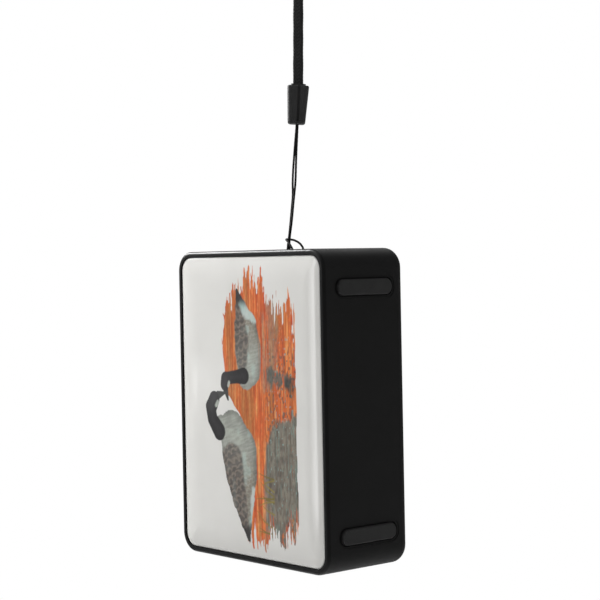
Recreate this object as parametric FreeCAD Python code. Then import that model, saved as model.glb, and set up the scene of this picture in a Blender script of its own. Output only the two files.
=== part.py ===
"""Pocket electronic game caller: a battery loudspeaker box that hangs on a wrist lanyard.

Millimetres. Z runs along the length of the box, X across its width (the feet are on +X, the keys on -X) and
Y through its depth (the printed panel is on -Y, the loudspeaker grille on +Y). Every piece of the box is
drawn about the middle of the box, and then all of it is hung below the seat of the strap loop, which is the
origin.
"""
import FreeCAD, Part
import math
import os

os.makedirs("parts", exist_ok=True)
vec = FreeCAD.Vector

# Box
body_width = 81.0
body_length = 110.0
body_depth = 38.0
corner_radius = 7.0
rear_round = 3.4
wall = 2.2
lip_wall = 1.1          # the housing's rebated ends, which the two covers plug into
lip_depth = 3.0
seat_gap = 0.1          # between plugged pieces, each side

# Front: printed panel in a rimmed cover
panel_inset = 2.05
panel_thick = 1.2
panel_edge_round = 0.8
glue_thick = 0.15
rim_set_back = 0.3
rim_round = 1.1
front_plate_thick = 2.4
seal_thick = 0.5

# Rear: cover, perforated plate and cloth
rear_plate_thick = 2.4
plug_thick = 1.3
grille_radius = 30.0
grille_thick = 0.8
grille_set_back = 0.1
grille_hole_radius = 1.0
grille_pitch = 3.2
cloth_radius = 26.0
cloth_thick = 0.3
sound_radius = 23.5     # opening in the rear cover in front of the cone

# Fasteners
cover_screw_radius = 1.25
cover_screw_head = 2.2
screw_inset = 7.9       # from the box's sides to the corner screws
post_radius = 3.0
small_screw_radius = 0.9
small_screw_head = 1.7
small_head_thick = 1.2
small_post_radius = 2.4

# Feet, recessed in the +X side
foot_inset = 12.9       # from each end of the box to the middle of a foot
foot_shift = -0.35       # both feet, towards the -Z end
foot_middle_y = -0.1
foot_length = 24.8
foot_width = 5.45
foot_rise = 0.8
foot_recess_deep = 0.9
foot_recess_margin = 1.0
foot_round = 0.55
foot_lip_wide = 1.4
foot_lip_deep = 0.2

# Keys, in a row along the -X side
key_names = ["power", "volume_down", "play", "volume_up", "call"]
key_near_margin = 19.0    # from the -Z end of the box to the first key
key_far_margin = 10.0     # from the battery to the last key
key_y = 0.8
key_share = 0.288         # a key's radius, as a share of the pitch that the row of keys gets
key_flange_share = 0.064
lens_share = 0.08
key_gap = 0.2
key_rise = 0.6
key_round = 0.45
key_flange_thick = 0.6
lens_collar = 0.5
switch_side = 4.6
switch_high = 1.5
plunger_radius = 1.2
plunger_rise = 0.4
plunger_gap = 0.1
button_board_stand = 2.9  # from the wall's inside
button_board_thick = 1.2
button_board_width = 11.4
button_board_margin = 6.5
button_screw_shift = 4.0  # off the line of the keys
button_post_radius = 2.0
flex_width = 8.0

# Ports, in a recess on the -Z end under a hinged flap
port_y = -8.8
port_recess_width = 30.0
port_recess_high = 9.2
port_recess_deep = 1.8
port_floor = 1.8
port_backing_side = 2.0   # how far the recess's backing reaches past it
port_backing_front = 0.8
port_backing_rear = 1.5
flap_thick = 1.4
flap_gap = 0.2
hinge_gap = 0.35
hinge_stub_radius = 0.5
hinge_stub_long = 1.2
hinge_running_gap = 0.05
usb_x = -6.5
usb_width = 9.0
usb_high = 3.2
usb_long = 7.4
usb_shell = 0.3
jack_x = 7.5
jack_bore_radius = 1.8
jack_radius = 2.9
jack_long = 12.0
port_clearance = 0.15

# Main board, on posts behind the front cover
board_side_margin = 7.5   # from the box's sides
board_near_margin = 5.0   # from the -Z end, for the ports
board_far_margin = 7.0    # from the battery
board_thick = 1.6
board_round = 1.5
board_stand = 2.8
board_screw_inset = 4.0
board_port_strip = 10.0   # kept clear of screws next to the ports
# Across the board, along it as a share of its half length, then across, up and high
chip_sizes = {
    "processor_chip": (8.0, -0.403, 10.0, 10.0, 1.2),
    "memory_chip": (-9.0, -0.463, 8.0, 6.0, 1.0),
    "amplifier_chip": (17.0, 0.672, 7.0, 7.0, 1.4),
}
chip_chamfer = 0.15
can_places = [(22.0, -0.10), (22.0, -0.36), (-22.0, -0.30)]
can_radius = 2.8
can_high = 5.6
flex_z = -4.0
flex_thick = 0.2

# Battery (18650 cell) and its cradle
cell_radius = 9.2
cell_long = 65.2
cell_y = 0.5
cell_end_margin = 12.6    # from the +Z end to the cell's side
cell_gap = 0.15
tab_thick = 0.3
cradle_wall = 0.85
cradle_end = 3.0
cradle_floor = 1.5
ear_thick = 1.6
lead_radius = 0.6

# Loudspeaker, axis along Y
driver_z = -8.0
driver_half_side = 26.0
driver_flange_thick = 1.2
driver_screw_inset = 4.5  # from the basket's sides
gasket_thick = 0.6
surround_thick = 0.35
surround_outer = 25.4
surround_inner = 19.2
surround_roll_outer = 22.8
surround_high = 1.6
cone_thick = 0.45
cone_depth = 4.6
coil_inner = 6.95
coil_thick = 0.4
coil_long = 9.6
pole_radius = 6.7
top_plate_thick = 2.0
magnet_thick = 5.0
magnet_radius = 15.0
yoke_thick = 2.2
yoke_radius = 14.0
spider_waves = 4
spider_wave_high = 0.7
spider_thick = 0.3
spider_flat = 17.4
spider_outer = 19.4
cap_overhang = 0.9
cap_high = 2.6
cap_thick = 0.35

# Lanyard
pocket_radius = 5.0
pocket_deep = 4.8
pocket_y = 2.7
pocket_wall = 1.6
pin_radius = 0.8
pin_depth = 2.2
cord_radius = 0.4
strap_width = 3.7
strap_thick = 1.2
strap_turn = 49.0       # degrees, how far the strap's width is turned from the box's width
strap_lean = 1.45       # degrees, towards +Y
strap_foot = vec(0.0, 6.75, 55.6)
ferrule_foot = vec(0.0, 5.6, 45.3)
ferrule_lean = 4.0      # degrees, towards the strap's width
ferrule_long = 13.9
ferrule_top_width = 7.9
ferrule_foot_width = 6.3
ferrule_depth = 6.2
ferrule_round = 1.5
ferrule_foot_round = 0.9
ferrule_top_round = 0.5
ferrule_slit = 0.6
ferrule_slit_x = 0.5
ferrule_slit_deep = 0.9
ferrule_bevel = 0.6

# Cord from the ferrule, round the pin, through its own bight and back. From the middle of the +Z end.
cord_route = [
    (0.4, 5.9, 47.3), (-0.9, 4.0, 33.3), (-1.2, 3.6, 21.0), (-0.8, 3.4, 16.0), (-1.0, 3.0, 10.0),
    (-1.3, 2.2, 4.0), (-1.7, 1.9, 0.6), (-1.45, 2.1, -3.65), (1.45, 2.1, -3.65), (2.5, 1.5, -0.6),
    (1.1, 1.1, 1.5), (-0.6, 1.5, 2.9), (-2.6, 1.4, 3.4), (-2.8, 3.6, 3.6), (-0.9, 4.8, 3.9),
    (1.2, 5.3, 3.2), (2.5, 5.2, 0.8), (1.5, 3.6, -3.65), (-1.45, 3.4, -3.65), (-2.3, 3.0, 0.4),
    (-2.0, 2.8, 4.0), (-1.7, 3.6, 10.0), (-1.5, 4.2, 16.0), (-0.6, 4.6, 21.0), (0.0, 5.3, 33.3),
    (-0.4, 6.5, 47.3),
]
# Strap from the ferrule, over the loop's seat and back: across the two legs, and up along the strap.
strap_route = [
    (-0.70, 0.0), (-0.80, 14.0), (-1.25, 36.0), (-3.0, 68.0), (-5.0, 98.0), (-5.6, 116.0),
    (5.6, 116.0), (4.7, 96.0), (3.2, 67.0), (1.15, 38.0), (0.78, 15.0), (0.70, 0.0),
]

# Places that follow from the sizes above
half_width = body_width / 2
half_length = body_length / 2
battery_low_z = half_length - cell_end_margin - 2 * cell_radius
front_y = -body_depth / 2
rear_y = body_depth / 2
rim_y = front_y + rim_set_back
front_joint_y = rim_y + rim_round
rear_joint_y = rear_y - rear_round
panel_back_y = front_y + panel_thick
front_floor_y = panel_back_y + glue_thick
front_inner_y = front_joint_y + front_plate_thick
rear_inner_y = rear_y - rear_plate_thick
board_front_y = front_inner_y + board_stand
board_back_y = board_front_y + board_thick
board_width = body_width - 2 * board_side_margin
board_low_z = -half_length + board_near_margin
board_high_z = battery_low_z - board_far_margin
cell_z = battery_low_z + cell_radius
screw_x = half_width - screw_inset
screw_z = half_length - screw_inset
key_face_x = -half_width
key_wall_x = key_face_x + wall
button_board_x = key_wall_x + button_board_stand
key_pitch = (battery_low_z - key_far_margin + half_length - key_near_margin) / (len(key_names) - 1)
key_radius = key_share * key_pitch
key_flange = key_flange_share * key_pitch
lens_radius = lens_share * key_pitch
key_places = [-half_length + key_near_margin + i * key_pitch for i in range(len(key_names))]
lens_z = (key_places[0] + key_places[1]) / 2
flange_y = rear_inner_y - gasket_thick - surround_thick
grille_y = rear_y - grille_set_back
grille_seat_y = grille_y - grille_thick
cloth_seat_y = grille_seat_y - cloth_thick
hinge_y = port_y + port_recess_high / 2 - hinge_gap - flap_thick / 2
hinge_z = -half_length + flap_gap / 2 + flap_thick / 2
port_floor_z = -half_length + port_recess_deep

pieces = {}


# Small helpers

def plain_box(x0, x1, y0, y1, z0, z1):
    return Part.makeBox(x1 - x0, y1 - y0, z1 - z0, vec(x0, y0, z0))


def rod(radius, start, end):
    run = vec(*end) - vec(*start)
    return Part.makeCylinder(radius, run.Length, vec(*start), run)


def ring(outer, inner, y0, y1, middle_z):
    whole = rod(outer, (0, y0, middle_z), (0, y1, middle_z))
    return whole.cut(rod(inner, (0, y0 - 1, middle_z), (0, y1 + 1, middle_z)))


def rounded_wire(across, up, radius):
    """Closed rounded rectangle in the XY plane, centred on the origin."""
    a, b, r = across / 2, up / 2, radius
    corners = [(a - r, b - r, 0), (-a + r, b - r, 90), (-a + r, -b + r, 180), (a - r, -b + r, 270)]
    edges = []
    ends = []
    for cx, cy, start in corners:
        spot = [math.radians(start + turn) for turn in (0, 45, 90)]
        p, q, s = [vec(cx + r * math.cos(t), cy + r * math.sin(t), 0) for t in spot]
        edges.append(Part.Arc(p, q, s).toShape())
        ends.append((p, s))
    for i in range(4):
        tail, head = ends[i][1], ends[(i + 1) % 4][0]
        if (head - tail).Length > 1e-6:
            edges.append(Part.LineSegment(tail, head).toShape())
    return Part.Wire(Part.__sortEdges__(edges))


def block_y(across, up, radius, y0, y1, x=0.0, z=0.0):
    """Rounded rectangle across X and Z, from y0 to y1."""
    solid = Part.Face(rounded_wire(across, up, radius)).extrude(vec(0, 0, y1 - y0))
    solid.rotate(vec(0, 0, 0), vec(1, 0, 0), 90)
    solid.translate(vec(x, y1, z))
    return solid


def block_x(along_y, along_z, radius, x0, x1, y=0.0, z=0.0):
    """Rounded rectangle across Y and Z, from x0 to x1."""
    solid = Part.Face(rounded_wire(along_z, along_y, radius)).extrude(vec(0, 0, x1 - x0))
    solid.rotate(vec(0, 0, 0), vec(0, 1, 0), 90)
    solid.translate(vec(x0, y, z))
    return solid


def block_z(along_x, along_y, radius, z0, z1, x=0.0, y=0.0):
    """Rounded rectangle across X and Y, from z0 to z1."""
    solid = Part.Face(rounded_wire(along_x, along_y, radius)).extrude(vec(0, 0, z1 - z0))
    solid.translate(vec(x, y, z0))
    return solid


def body_block(inset, y0, y1):
    """The box's outline drawn in by inset on every side."""
    radius = corner_radius - inset
    return block_y(body_width - 2 * inset, body_length - 2 * inset, radius, y0, y1)


def edges_on(shape, axis, value):
    """Edges that lie wholly in the plane where the axis has that value."""
    found = []
    for edge in shape.Edges:
        box = edge.BoundBox
        low = getattr(box, axis + "Min")
        high = getattr(box, axis + "Max")
        if abs(low - value) < 1e-4 and abs(high - value) < 1e-4:
            found.append(edge)
    return found


def spun(profile, middle_z):
    """Solid of revolution about the loudspeaker's axis, from (radius, y) points."""
    points = [vec(r, y, middle_z) for r, y in profile]
    face = Part.Face(Part.makePolygon(points + points[:1]))
    return face.revolve(vec(0, 0, middle_z), vec(0, 1, 0), 360)


def corners_of(x, z):
    return [(sx * x, sz * z) for sx in (1, -1) for sz in (1, -1)]


# Front

def make_front():
    open_inset = panel_inset - seat_gap
    panel = body_block(panel_inset, front_y, panel_back_y)
    panel = panel.makeFillet(panel_edge_round, edges_on(panel, "Y", front_y))
    pieces["front_panel"] = panel
    pieces["panel_adhesive"] = body_block(panel_inset + 0.6, panel_back_y, front_floor_y)

    rim = body_block(0, rim_y, front_joint_y + 1)
    rim = rim.makeFillet(rim_round, edges_on(rim, "Y", rim_y))
    rim = rim.common(body_block(-1, rim_y - 1, front_joint_y))
    cover = rim.fuse(body_block(lip_wall + seat_gap, front_joint_y, front_inner_y))
    cover = cover.cut(body_block(open_inset, front_y - 1, front_floor_y))
    for x, z in corners_of(screw_x, screw_z):
        cover = cover.fuse(rod(post_radius, (x, front_inner_y, z), (x, post_top_y(), z)))
        cover = cover.cut(rod(cover_screw_radius, (x, screw_tip_y(), z), (x, post_top_y() + 1, z)))
    for x, z in board_screw_places():
        cover = cover.fuse(rod(small_post_radius, (x, front_inner_y, z), (x, board_front_y, z)))
        cover = cover.cut(rod(small_screw_radius, (x, front_inner_y - 0.2, z), (x, board_front_y + 1, z)))
    for x, z in cradle_screw_places():
        cover = cover.fuse(rod(small_post_radius, (x, front_inner_y, z), (x, ear_low_y(), z)))
        cover = cover.cut(rod(small_screw_radius, (x, front_inner_y + 0.6, z), (x, ear_low_y() + 1, z)))
    pieces["front_cover"] = cover.removeSplitter()

    seal_y = front_joint_y + front_plate_thick
    seal = body_block(lip_wall + seat_gap, seal_y, seal_y + seal_thick)
    pieces["front_seal"] = seal.cut(body_block(wall, seal_y - 1, seal_y + seal_thick + 1))


def post_top_y():
    return rear_joint_y - lip_depth - 6.4


def screw_tip_y():
    return post_top_y() - 10.0


# Housing

def make_housing():
    shell = body_block(0, front_joint_y, rear_joint_y).cut(body_block(wall, front_joint_y, rear_joint_y))
    for y0, y1 in ((front_joint_y, front_joint_y + front_plate_thick + seal_thick),
                   (rear_joint_y - lip_depth, rear_joint_y)):
        shell = shell.cut(body_block(lip_wall, y0, y1))
    block_low = post_top_y() + 0.4
    block_high = rear_joint_y - lip_depth
    inside = body_block(wall - 0.01, block_low, block_high)
    for x, z in corners_of(screw_x, screw_z):
        sx, sz = math.copysign(1, x), math.copysign(1, z)
        reach = post_radius + 0.2
        spot = plain_box(min(x - sx * reach, x + sx * 12), max(x - sx * reach, x + sx * 12), block_low,
                         block_high, min(z - sz * reach, z + sz * 12), max(z - sz * reach, z + sz * 12))
        shell = shell.fuse(spot.common(inside))
        shell = shell.cut(rod(cover_screw_radius + 0.15, (x, block_low - 1, z), (x, block_high + 1, z)))
    shell = with_lanyard_pocket(shell)
    shell = with_foot_recesses(shell)
    shell = with_key_holes(shell)
    shell = with_port_recess(shell)
    pieces["housing"] = shell.removeSplitter()


def with_lanyard_pocket(shell):
    floor_z = half_length - pocket_deep
    boss = rod(pocket_radius + pocket_wall, (0, pocket_y, floor_z - pocket_wall),
               (0, pocket_y, half_length - 1))
    shell = shell.fuse(boss)
    hole = rod(pocket_radius, (0, pocket_y, floor_z), (0, pocket_y, half_length + 1))
    flare = Part.makeCone(pocket_radius, pocket_radius + 0.7, 0.7, vec(0, pocket_y, half_length - 0.6))
    shell = shell.cut(hole).cut(flare)
    return shell.cut(lanyard_pin_solid())


def lanyard_pin_solid():
    reach = pocket_radius + pocket_wall - 0.4
    z = half_length - pin_depth
    return rod(pin_radius, (0, pocket_y - reach, z), (0, pocket_y + reach, z))


def with_foot_recesses(shell):
    for z in foot_places():
        recess = block_x(foot_length + 2 * foot_recess_margin, foot_width + foot_recess_margin,
                         (foot_width + foot_recess_margin) / 2 - 0.2,
                         half_width - foot_recess_deep, half_width + 1, foot_middle_y, z)
        lip = block_x(foot_length + 2 * foot_recess_margin + foot_lip_wide,
                      foot_width + foot_recess_margin + foot_lip_wide,
                      (foot_width + foot_recess_margin) / 2 + 0.1,
                      half_width - foot_lip_deep, half_width + 1, foot_middle_y, z)
        shell = shell.cut(recess).cut(lip)
    return shell


def foot_places():
    return [half_length - foot_inset + foot_shift, -half_length + foot_inset + foot_shift]


def with_key_holes(shell):
    for z in key_places:
        shell = shell.cut(rod(key_radius + key_gap, (key_face_x - 1, key_y, z), (key_wall_x + 1, key_y, z)))
    shell = shell.cut(rod(lens_radius + 0.05, (key_face_x - 1, key_y, lens_z),
                          (key_wall_x + 1, key_y, lens_z)))
    for y, z in button_screw_places():
        shell = shell.fuse(rod(button_post_radius, (key_wall_x - 0.5, y, z), (button_board_x, y, z)))
        shell = shell.cut(rod(small_screw_radius, (key_wall_x - 0.2, y, z), (button_board_x + 1, y, z)))
    return shell


def with_port_recess(shell):
    inner_z = port_floor_z + port_floor
    reach_x = port_recess_width / 2 + port_backing_side
    backing = plain_box(-reach_x, reach_x, port_y - port_recess_high / 2 - port_backing_front,
                        port_y + port_recess_high / 2 + port_backing_rear,
                        -half_length + wall - 0.5, inner_z)
    shell = shell.fuse(backing)
    recess = block_z(port_recess_width, port_recess_high, 1.2, -half_length - 1, port_floor_z, 0, port_y)
    hinge_room = plain_box(-port_recess_width / 2, port_recess_width / 2, hinge_y - flap_thick,
                           port_y + port_recess_high / 2, -half_length - 1, port_floor_z)
    shell = shell.cut(recess).cut(hinge_room)
    hinge_reach = port_recess_width / 2 - flap_gap + hinge_stub_long + 0.2
    shell = shell.cut(rod(hinge_stub_radius + hinge_running_gap, (-hinge_reach, hinge_y, hinge_z),
                          (hinge_reach, hinge_y, hinge_z)))
    usb_hole = block_z(usb_width + 2 * port_clearance, usb_high + 2 * port_clearance,
                       (usb_high + 2 * port_clearance) / 2 - 0.02, port_floor_z - 1, inner_z + 1,
                       usb_x, usb_y())
    jack_hole = rod(jack_radius + port_clearance, (jack_x, jack_y(), port_floor_z - 1),
                    (jack_x, jack_y(), inner_z + 1))
    return shell.cut(usb_hole).cut(jack_hole)


def usb_y():
    return board_back_y + usb_high / 2


def jack_y():
    return board_back_y + jack_radius


# Rear

def make_rear():
    cover = body_block(0, rear_joint_y - 4, rear_y)
    cover = cover.makeFillet(rear_round, edges_on(cover, "Y", rear_y))
    cover = cover.common(body_block(-1, rear_joint_y, rear_y + 1))
    inner_inset = lip_wall + seat_gap + plug_thick
    plug_y = rear_joint_y - lip_depth + seal_thick
    cover = cover.fuse(body_block(lip_wall + seat_gap, plug_y, rear_joint_y))
    cover = cover.cut(body_block(inner_inset, plug_y - 1, rear_inner_y))
    for x, z in corners_of(screw_x, screw_z):
        cover = cover.fuse(rod(post_radius, (x, plug_y - seal_thick, z), (x, rear_inner_y, z)))
        cover = cover.cut(rod(cover_screw_radius + 0.15, (x, plug_y - 2, z), (x, rear_y + 1, z)))
        cover = cover.cut(rod(cover_screw_head + 0.2, (x, head_seat_y(), z), (x, rear_y + 1, z)))
    axis = ((0, cloth_seat_y, driver_z), (0, grille_seat_y, driver_z), (0, rear_y + 1, driver_z))
    cover = cover.cut(rod(sound_radius, (0, rear_inner_y - 1, driver_z), axis[2]))
    cover = cover.cut(rod(cloth_radius + seat_gap, axis[0], axis[2]))
    cover = cover.cut(rod(grille_radius + seat_gap, axis[1], axis[2]))
    for x, z in driver_screw_places():
        boss_low = flange_y
        cover = cover.fuse(rod(small_post_radius, (x, boss_low, z), (x, rear_inner_y, z)))
        cover = cover.cut(rod(small_screw_radius, (x, boss_low - 1, z), (x, driver_screw_tip_y(), z)))
    pieces["rear_cover"] = cover.removeSplitter()

    seal_low = rear_joint_y - lip_depth
    seal = body_block(lip_wall + seat_gap, seal_low, seal_low + seal_thick)
    seal = seal.cut(body_block(wall, seal_low - 1, seal_low + seal_thick + 1))
    pieces["rear_seal"] = seal

    grille = rod(grille_radius, (0, grille_seat_y, driver_z), (0, grille_y, driver_z))
    grille = grille.makeFillet(0.3, edges_on(grille, "Y", grille_y))
    pieces["rear_grille"] = grille.cut(Part.makeCompound(grille_holes()))
    pieces["grille_cloth"] = rod(cloth_radius, (0, cloth_seat_y, driver_z), (0, grille_seat_y, driver_z))


def grille_holes():
    """Hexagonal pattern inside the sound opening."""
    holes = []
    row_step = grille_pitch * math.sqrt(3) / 2
    reach = sound_radius - grille_hole_radius - 0.4
    rows = int(reach / row_step)
    for row in range(-rows, rows + 1):
        shift = grille_pitch / 2 if row % 2 else 0.0
        count = int(reach / grille_pitch) + 1
        for i in range(-count, count + 1):
            x = i * grille_pitch + shift
            z = row * row_step
            if math.hypot(x, z) <= reach:
                start = (x, grille_seat_y - 1, driver_z + z)
                holes.append(rod(grille_hole_radius, start, (x, grille_y + 1, driver_z + z)))
    return holes


def head_seat_y():
    return rear_y - 2.4


# Feet, keys and port cover

def make_feet():
    for name, z in zip(("foot_pad_upper", "foot_pad_lower"), foot_places()):
        pad = block_x(foot_length, foot_width, foot_width / 2 - 0.2, half_width - foot_recess_deep,
                      half_width + foot_rise, foot_middle_y, z)
        pieces[name] = pad.makeFillet(foot_round, edges_on(pad, "X", half_width + foot_rise))


def make_keys():
    plunger_x = switch_face_x() - plunger_rise
    stem_x = key_wall_x + 0.1 + key_flange_thick
    for name, z in zip(key_names, key_places):
        cap = rod(key_radius, (key_face_x - key_rise, key_y, z), (key_wall_x + 0.1, key_y, z))
        cap = cap.makeFillet(key_round, edges_on(cap, "X", key_face_x - key_rise))
        flange = rod(key_radius + key_flange, (key_wall_x + 0.1, key_y, z), (stem_x, key_y, z))
        stem = rod(plunger_radius - 0.2, (stem_x, key_y, z), (plunger_x, key_y, z))
        pieces[name + "_button"] = cap.fuse(flange).fuse(stem).removeSplitter()
        pieces[name + "_plunger"] = rod(plunger_radius, (plunger_x, key_y, z), (plunger_x + 1.0, key_y, z))
    lens = rod(lens_radius, (key_face_x, key_y, lens_z), (key_wall_x + 0.1, key_y, lens_z))
    lens = lens.fuse(rod(lens_radius + lens_collar, (key_wall_x, key_y, lens_z),
                         (key_wall_x + 0.8, key_y, lens_z)))
    pieces["status_lens"] = lens.removeSplitter()


def switch_face_x():
    return button_board_x - switch_high


def make_port_cover():
    width = port_recess_width - 2 * flap_gap
    near_y = port_y - port_recess_high / 2 + flap_gap
    low_z = hinge_z - flap_thick / 2
    flap = plain_box(-width / 2, width / 2, near_y, hinge_y, low_z, low_z + flap_thick)
    corners = [e for e in flap.Edges if abs(e.BoundBox.YMin - near_y) < 1e-4 and e.BoundBox.YLength < 1e-4
               and e.BoundBox.XLength < 1e-4]
    flap = flap.makeFillet(1.0, corners)
    nick = plain_box(-4, 4, near_y - 1, near_y + 0.5, low_z - 1, low_z + 0.6)
    flap = flap.cut(nick)
    half = flap_thick / 2
    flap = flap.fuse(rod(half, (-width / 2, hinge_y, hinge_z), (width / 2, hinge_y, hinge_z)))
    reach = width / 2 + hinge_stub_long
    flap = flap.fuse(rod(hinge_stub_radius, (-reach, hinge_y, hinge_z), (reach, hinge_y, hinge_z)))
    pieces["port_cover"] = flap.removeSplitter()


# Electronics

def board_screw_places():
    x = board_width / 2 - board_screw_inset
    return [(sx * x, z) for sx in (1, -1)
            for z in (board_low_z + board_port_strip + board_screw_inset, board_high_z - board_screw_inset)]


def button_screw_places():
    low = key_places[0] - button_board_margin + 1.0
    high = key_places[-1] + button_board_margin - 1.0
    return [(key_y + button_screw_shift, low), (key_y - button_screw_shift, high)]


def make_main_board():
    middle = (board_low_z + board_high_z) / 2
    board = block_y(board_width, board_high_z - board_low_z, board_round, board_front_y, board_back_y,
                    0, middle)
    for x, z in corners_of(screw_x, screw_z):
        board = board.cut(rod(post_radius + 0.5, (x, board_front_y - 1, z), (x, board_back_y + 1, z)))
    screws = []
    for x, z in board_screw_places():
        board = board.cut(rod(small_screw_radius + 0.15, (x, board_front_y - 1, z),
                              (x, board_back_y + 1, z)))
        shank = rod(small_screw_radius, (x, front_inner_y + 0.1, z), (x, board_back_y, z))
        head = rod(small_screw_head, (x, board_back_y, z), (x, board_back_y + small_head_thick, z))
        screws.append(shank.fuse(head))
    for y, z in button_screw_places():
        back = button_board_x + button_board_thick
        shank = rod(small_screw_radius, (key_wall_x + 0.2, y, z), (back, y, z))
        head = rod(small_screw_head, (back, y, z), (back + small_head_thick, y, z))
        screws.append(shank.fuse(head))
    pieces["main_board"] = board
    pieces["board_screws"] = Part.makeCompound(screws)

    half = (board_high_z - board_low_z) / 2
    for name, (x, share, across, up, high) in chip_sizes.items():
        body = block_y(across, up, 0.3, board_back_y, board_back_y + high, x, middle + share * half)
        pieces[name] = body.makeChamfer(chip_chamfer, edges_on(body, "Y", board_back_y + high))
    cans = []
    for x, share in can_places:
        z = middle + share * half
        can = rod(can_radius, (x, board_back_y, z), (x, board_back_y + can_high, z))
        cans.append(can.makeFillet(0.4, edges_on(can, "Y", board_back_y + can_high)))
    pieces["board_capacitors"] = Part.makeCompound(cans)


def make_ports():
    mouth = port_floor_z + 0.3
    radius = usb_high / 2 - 0.02
    shell = block_z(usb_width, usb_high, radius, mouth, mouth + usb_long, usb_x, usb_y())
    hollow = block_z(usb_width - 2 * usb_shell, usb_high - 2 * usb_shell, radius - usb_shell, mouth - 1,
                     mouth + usb_long - 1, usb_x, usb_y())
    pieces["usb_port"] = shell.cut(hollow)
    pieces["usb_tongue"] = block_z(6.6, 0.7, 0.3, mouth + 1.2, mouth + usb_long - 1, usb_x, usb_y())
    low = port_floor_z + 0.2
    high = low + jack_long
    bore_deep = jack_long - 1.0
    floor_z = port_floor_z + port_floor
    jack = rod(jack_radius, (jack_x, jack_y(), low), (jack_x, jack_y(), floor_z + 0.4))
    jack = jack.fuse(plain_box(jack_x - jack_radius - 0.3, jack_x + jack_radius + 0.3, board_back_y,
                               board_back_y + 2 * jack_radius, floor_z + 0.4, high))
    jack = jack.cut(rod(jack_bore_radius, (jack_x, jack_y(), low - 1), (jack_x, jack_y(), low + bore_deep)))
    pieces["aux_jack"] = jack.removeSplitter()


def make_button_board():
    low = key_places[0] - button_board_margin - 1.0
    high = key_places[-1] + button_board_margin + 1.0
    back = button_board_x + button_board_thick
    board = block_x(button_board_width, high - low, 1.0, button_board_x, back, key_y, (low + high) / 2)
    for y, z in button_screw_places():
        board = board.cut(rod(small_screw_radius + 0.15, (button_board_x - 1, y, z), (back + 1, y, z)))
    pieces["button_board"] = board
    switches = []
    for z in key_places:
        body = block_x(switch_side, switch_side, 0.4, switch_face_x(), button_board_x, key_y, z)
        well = rod(plunger_radius + plunger_gap, (switch_face_x() - 1, key_y, z),
                   (button_board_x - 0.3, key_y, z))
        switches.append(body.cut(well))
    pieces["button_switches"] = Part.makeCompound(switches)
    pieces["status_led"] = block_x(1.6, 1.6, 0.2, button_board_x - 0.8, button_board_x, key_y, lens_z)
    turn_x = -board_width / 2 + 1.4
    low_y = key_y - button_board_width / 2 + 1.0
    high_y = low_y + flex_thick
    flat = plain_box(back, turn_x, low_y, high_y, flex_z, flex_z + flex_width)
    drop = plain_box(turn_x, turn_x + flex_thick, board_back_y, high_y, flex_z, flex_z + flex_width)
    pieces["flex_cable"] = flat.fuse(drop).removeSplitter()


# Battery

def ear_low_y():
    return cell_y - cell_radius - cell_gap - cradle_floor


def cradle_screw_places():
    low = cell_z - cell_radius - cell_gap - cradle_wall - small_post_radius
    high = cell_z + cell_radius + cell_gap + cradle_wall + small_post_radius
    return [(27.0, low), (-27.0, low), (20.0, high), (-20.0, high)]


def make_battery():
    half = cell_long / 2
    cell = rod(cell_radius, (-half, cell_y, cell_z), (half, cell_y, cell_z))
    cell = cell.makeFillet(0.8, edges_on(cell, "X", half) + edges_on(cell, "X", -half))
    pieces["battery_cell"] = cell
    tabs = []
    for side in (1, -1):
        low, high = sorted((side * half, side * (half + tab_thick)))
        disc = rod(4.0, (low, cell_y, cell_z), (high, cell_y, cell_z))
        tabs.append(disc.fuse(plain_box(low, high, cell_y, tab_top_y(), cell_z - 2, cell_z + 2)))
    pieces["battery_tabs"] = Part.makeCompound(tabs)

    reach_x = half + tab_thick + 0.1
    reach_z = cell_radius + cell_gap + cradle_wall
    low_y = ear_low_y()
    tray = plain_box(-reach_x - cradle_end, reach_x + cradle_end, low_y, cell_y + 1.5,
                     cell_z - reach_z, cell_z + reach_z)
    tray = tray.cut(rod(cell_radius + cell_gap, (-reach_x, cell_y, cell_z), (reach_x, cell_y, cell_z)))
    tray = tray.cut(plain_box(-reach_x, reach_x, cell_y, cell_y + 9, cell_z - cell_radius - cell_gap,
                              cell_z + cell_radius + cell_gap))
    screws = []
    for x, z in cradle_screw_places():
        inward = small_post_radius + cradle_wall
        toward = z + math.copysign(inward, cell_z - z)
        ear = rod(small_post_radius, (x, low_y, z), (x, low_y + ear_thick, z))
        ear = ear.fuse(plain_box(x - small_post_radius, x + small_post_radius, low_y, low_y + ear_thick,
                                 min(z, toward), max(z, toward)))
        tray = tray.fuse(ear)
        tray = tray.cut(rod(small_screw_radius + 0.15, (x, low_y - 1, z), (x, low_y + ear_thick + 1, z)))
        top = low_y + ear_thick
        shank = rod(small_screw_radius, (x, front_inner_y + 0.8, z), (x, top, z))
        screws.append(shank.fuse(rod(small_screw_head, (x, top, z), (x, top + small_head_thick, z))))
    tray = tray.cut(rod(cell_radius + cell_gap, (-reach_x, cell_y, cell_z), (reach_x, cell_y, cell_z)))
    pieces["battery_cradle"] = tray.removeSplitter()
    pieces["cradle_screws"] = Part.makeCompound(screws)


def tab_top_y():
    return cell_y + 5.0


# Loudspeaker

def driver_screw_places():
    offset = driver_half_side - driver_screw_inset
    return [(x, driver_z + z) for x, z in corners_of(offset, offset)]


def driver_screw_tip_y():
    return rear_inner_y + 1.0


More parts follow.
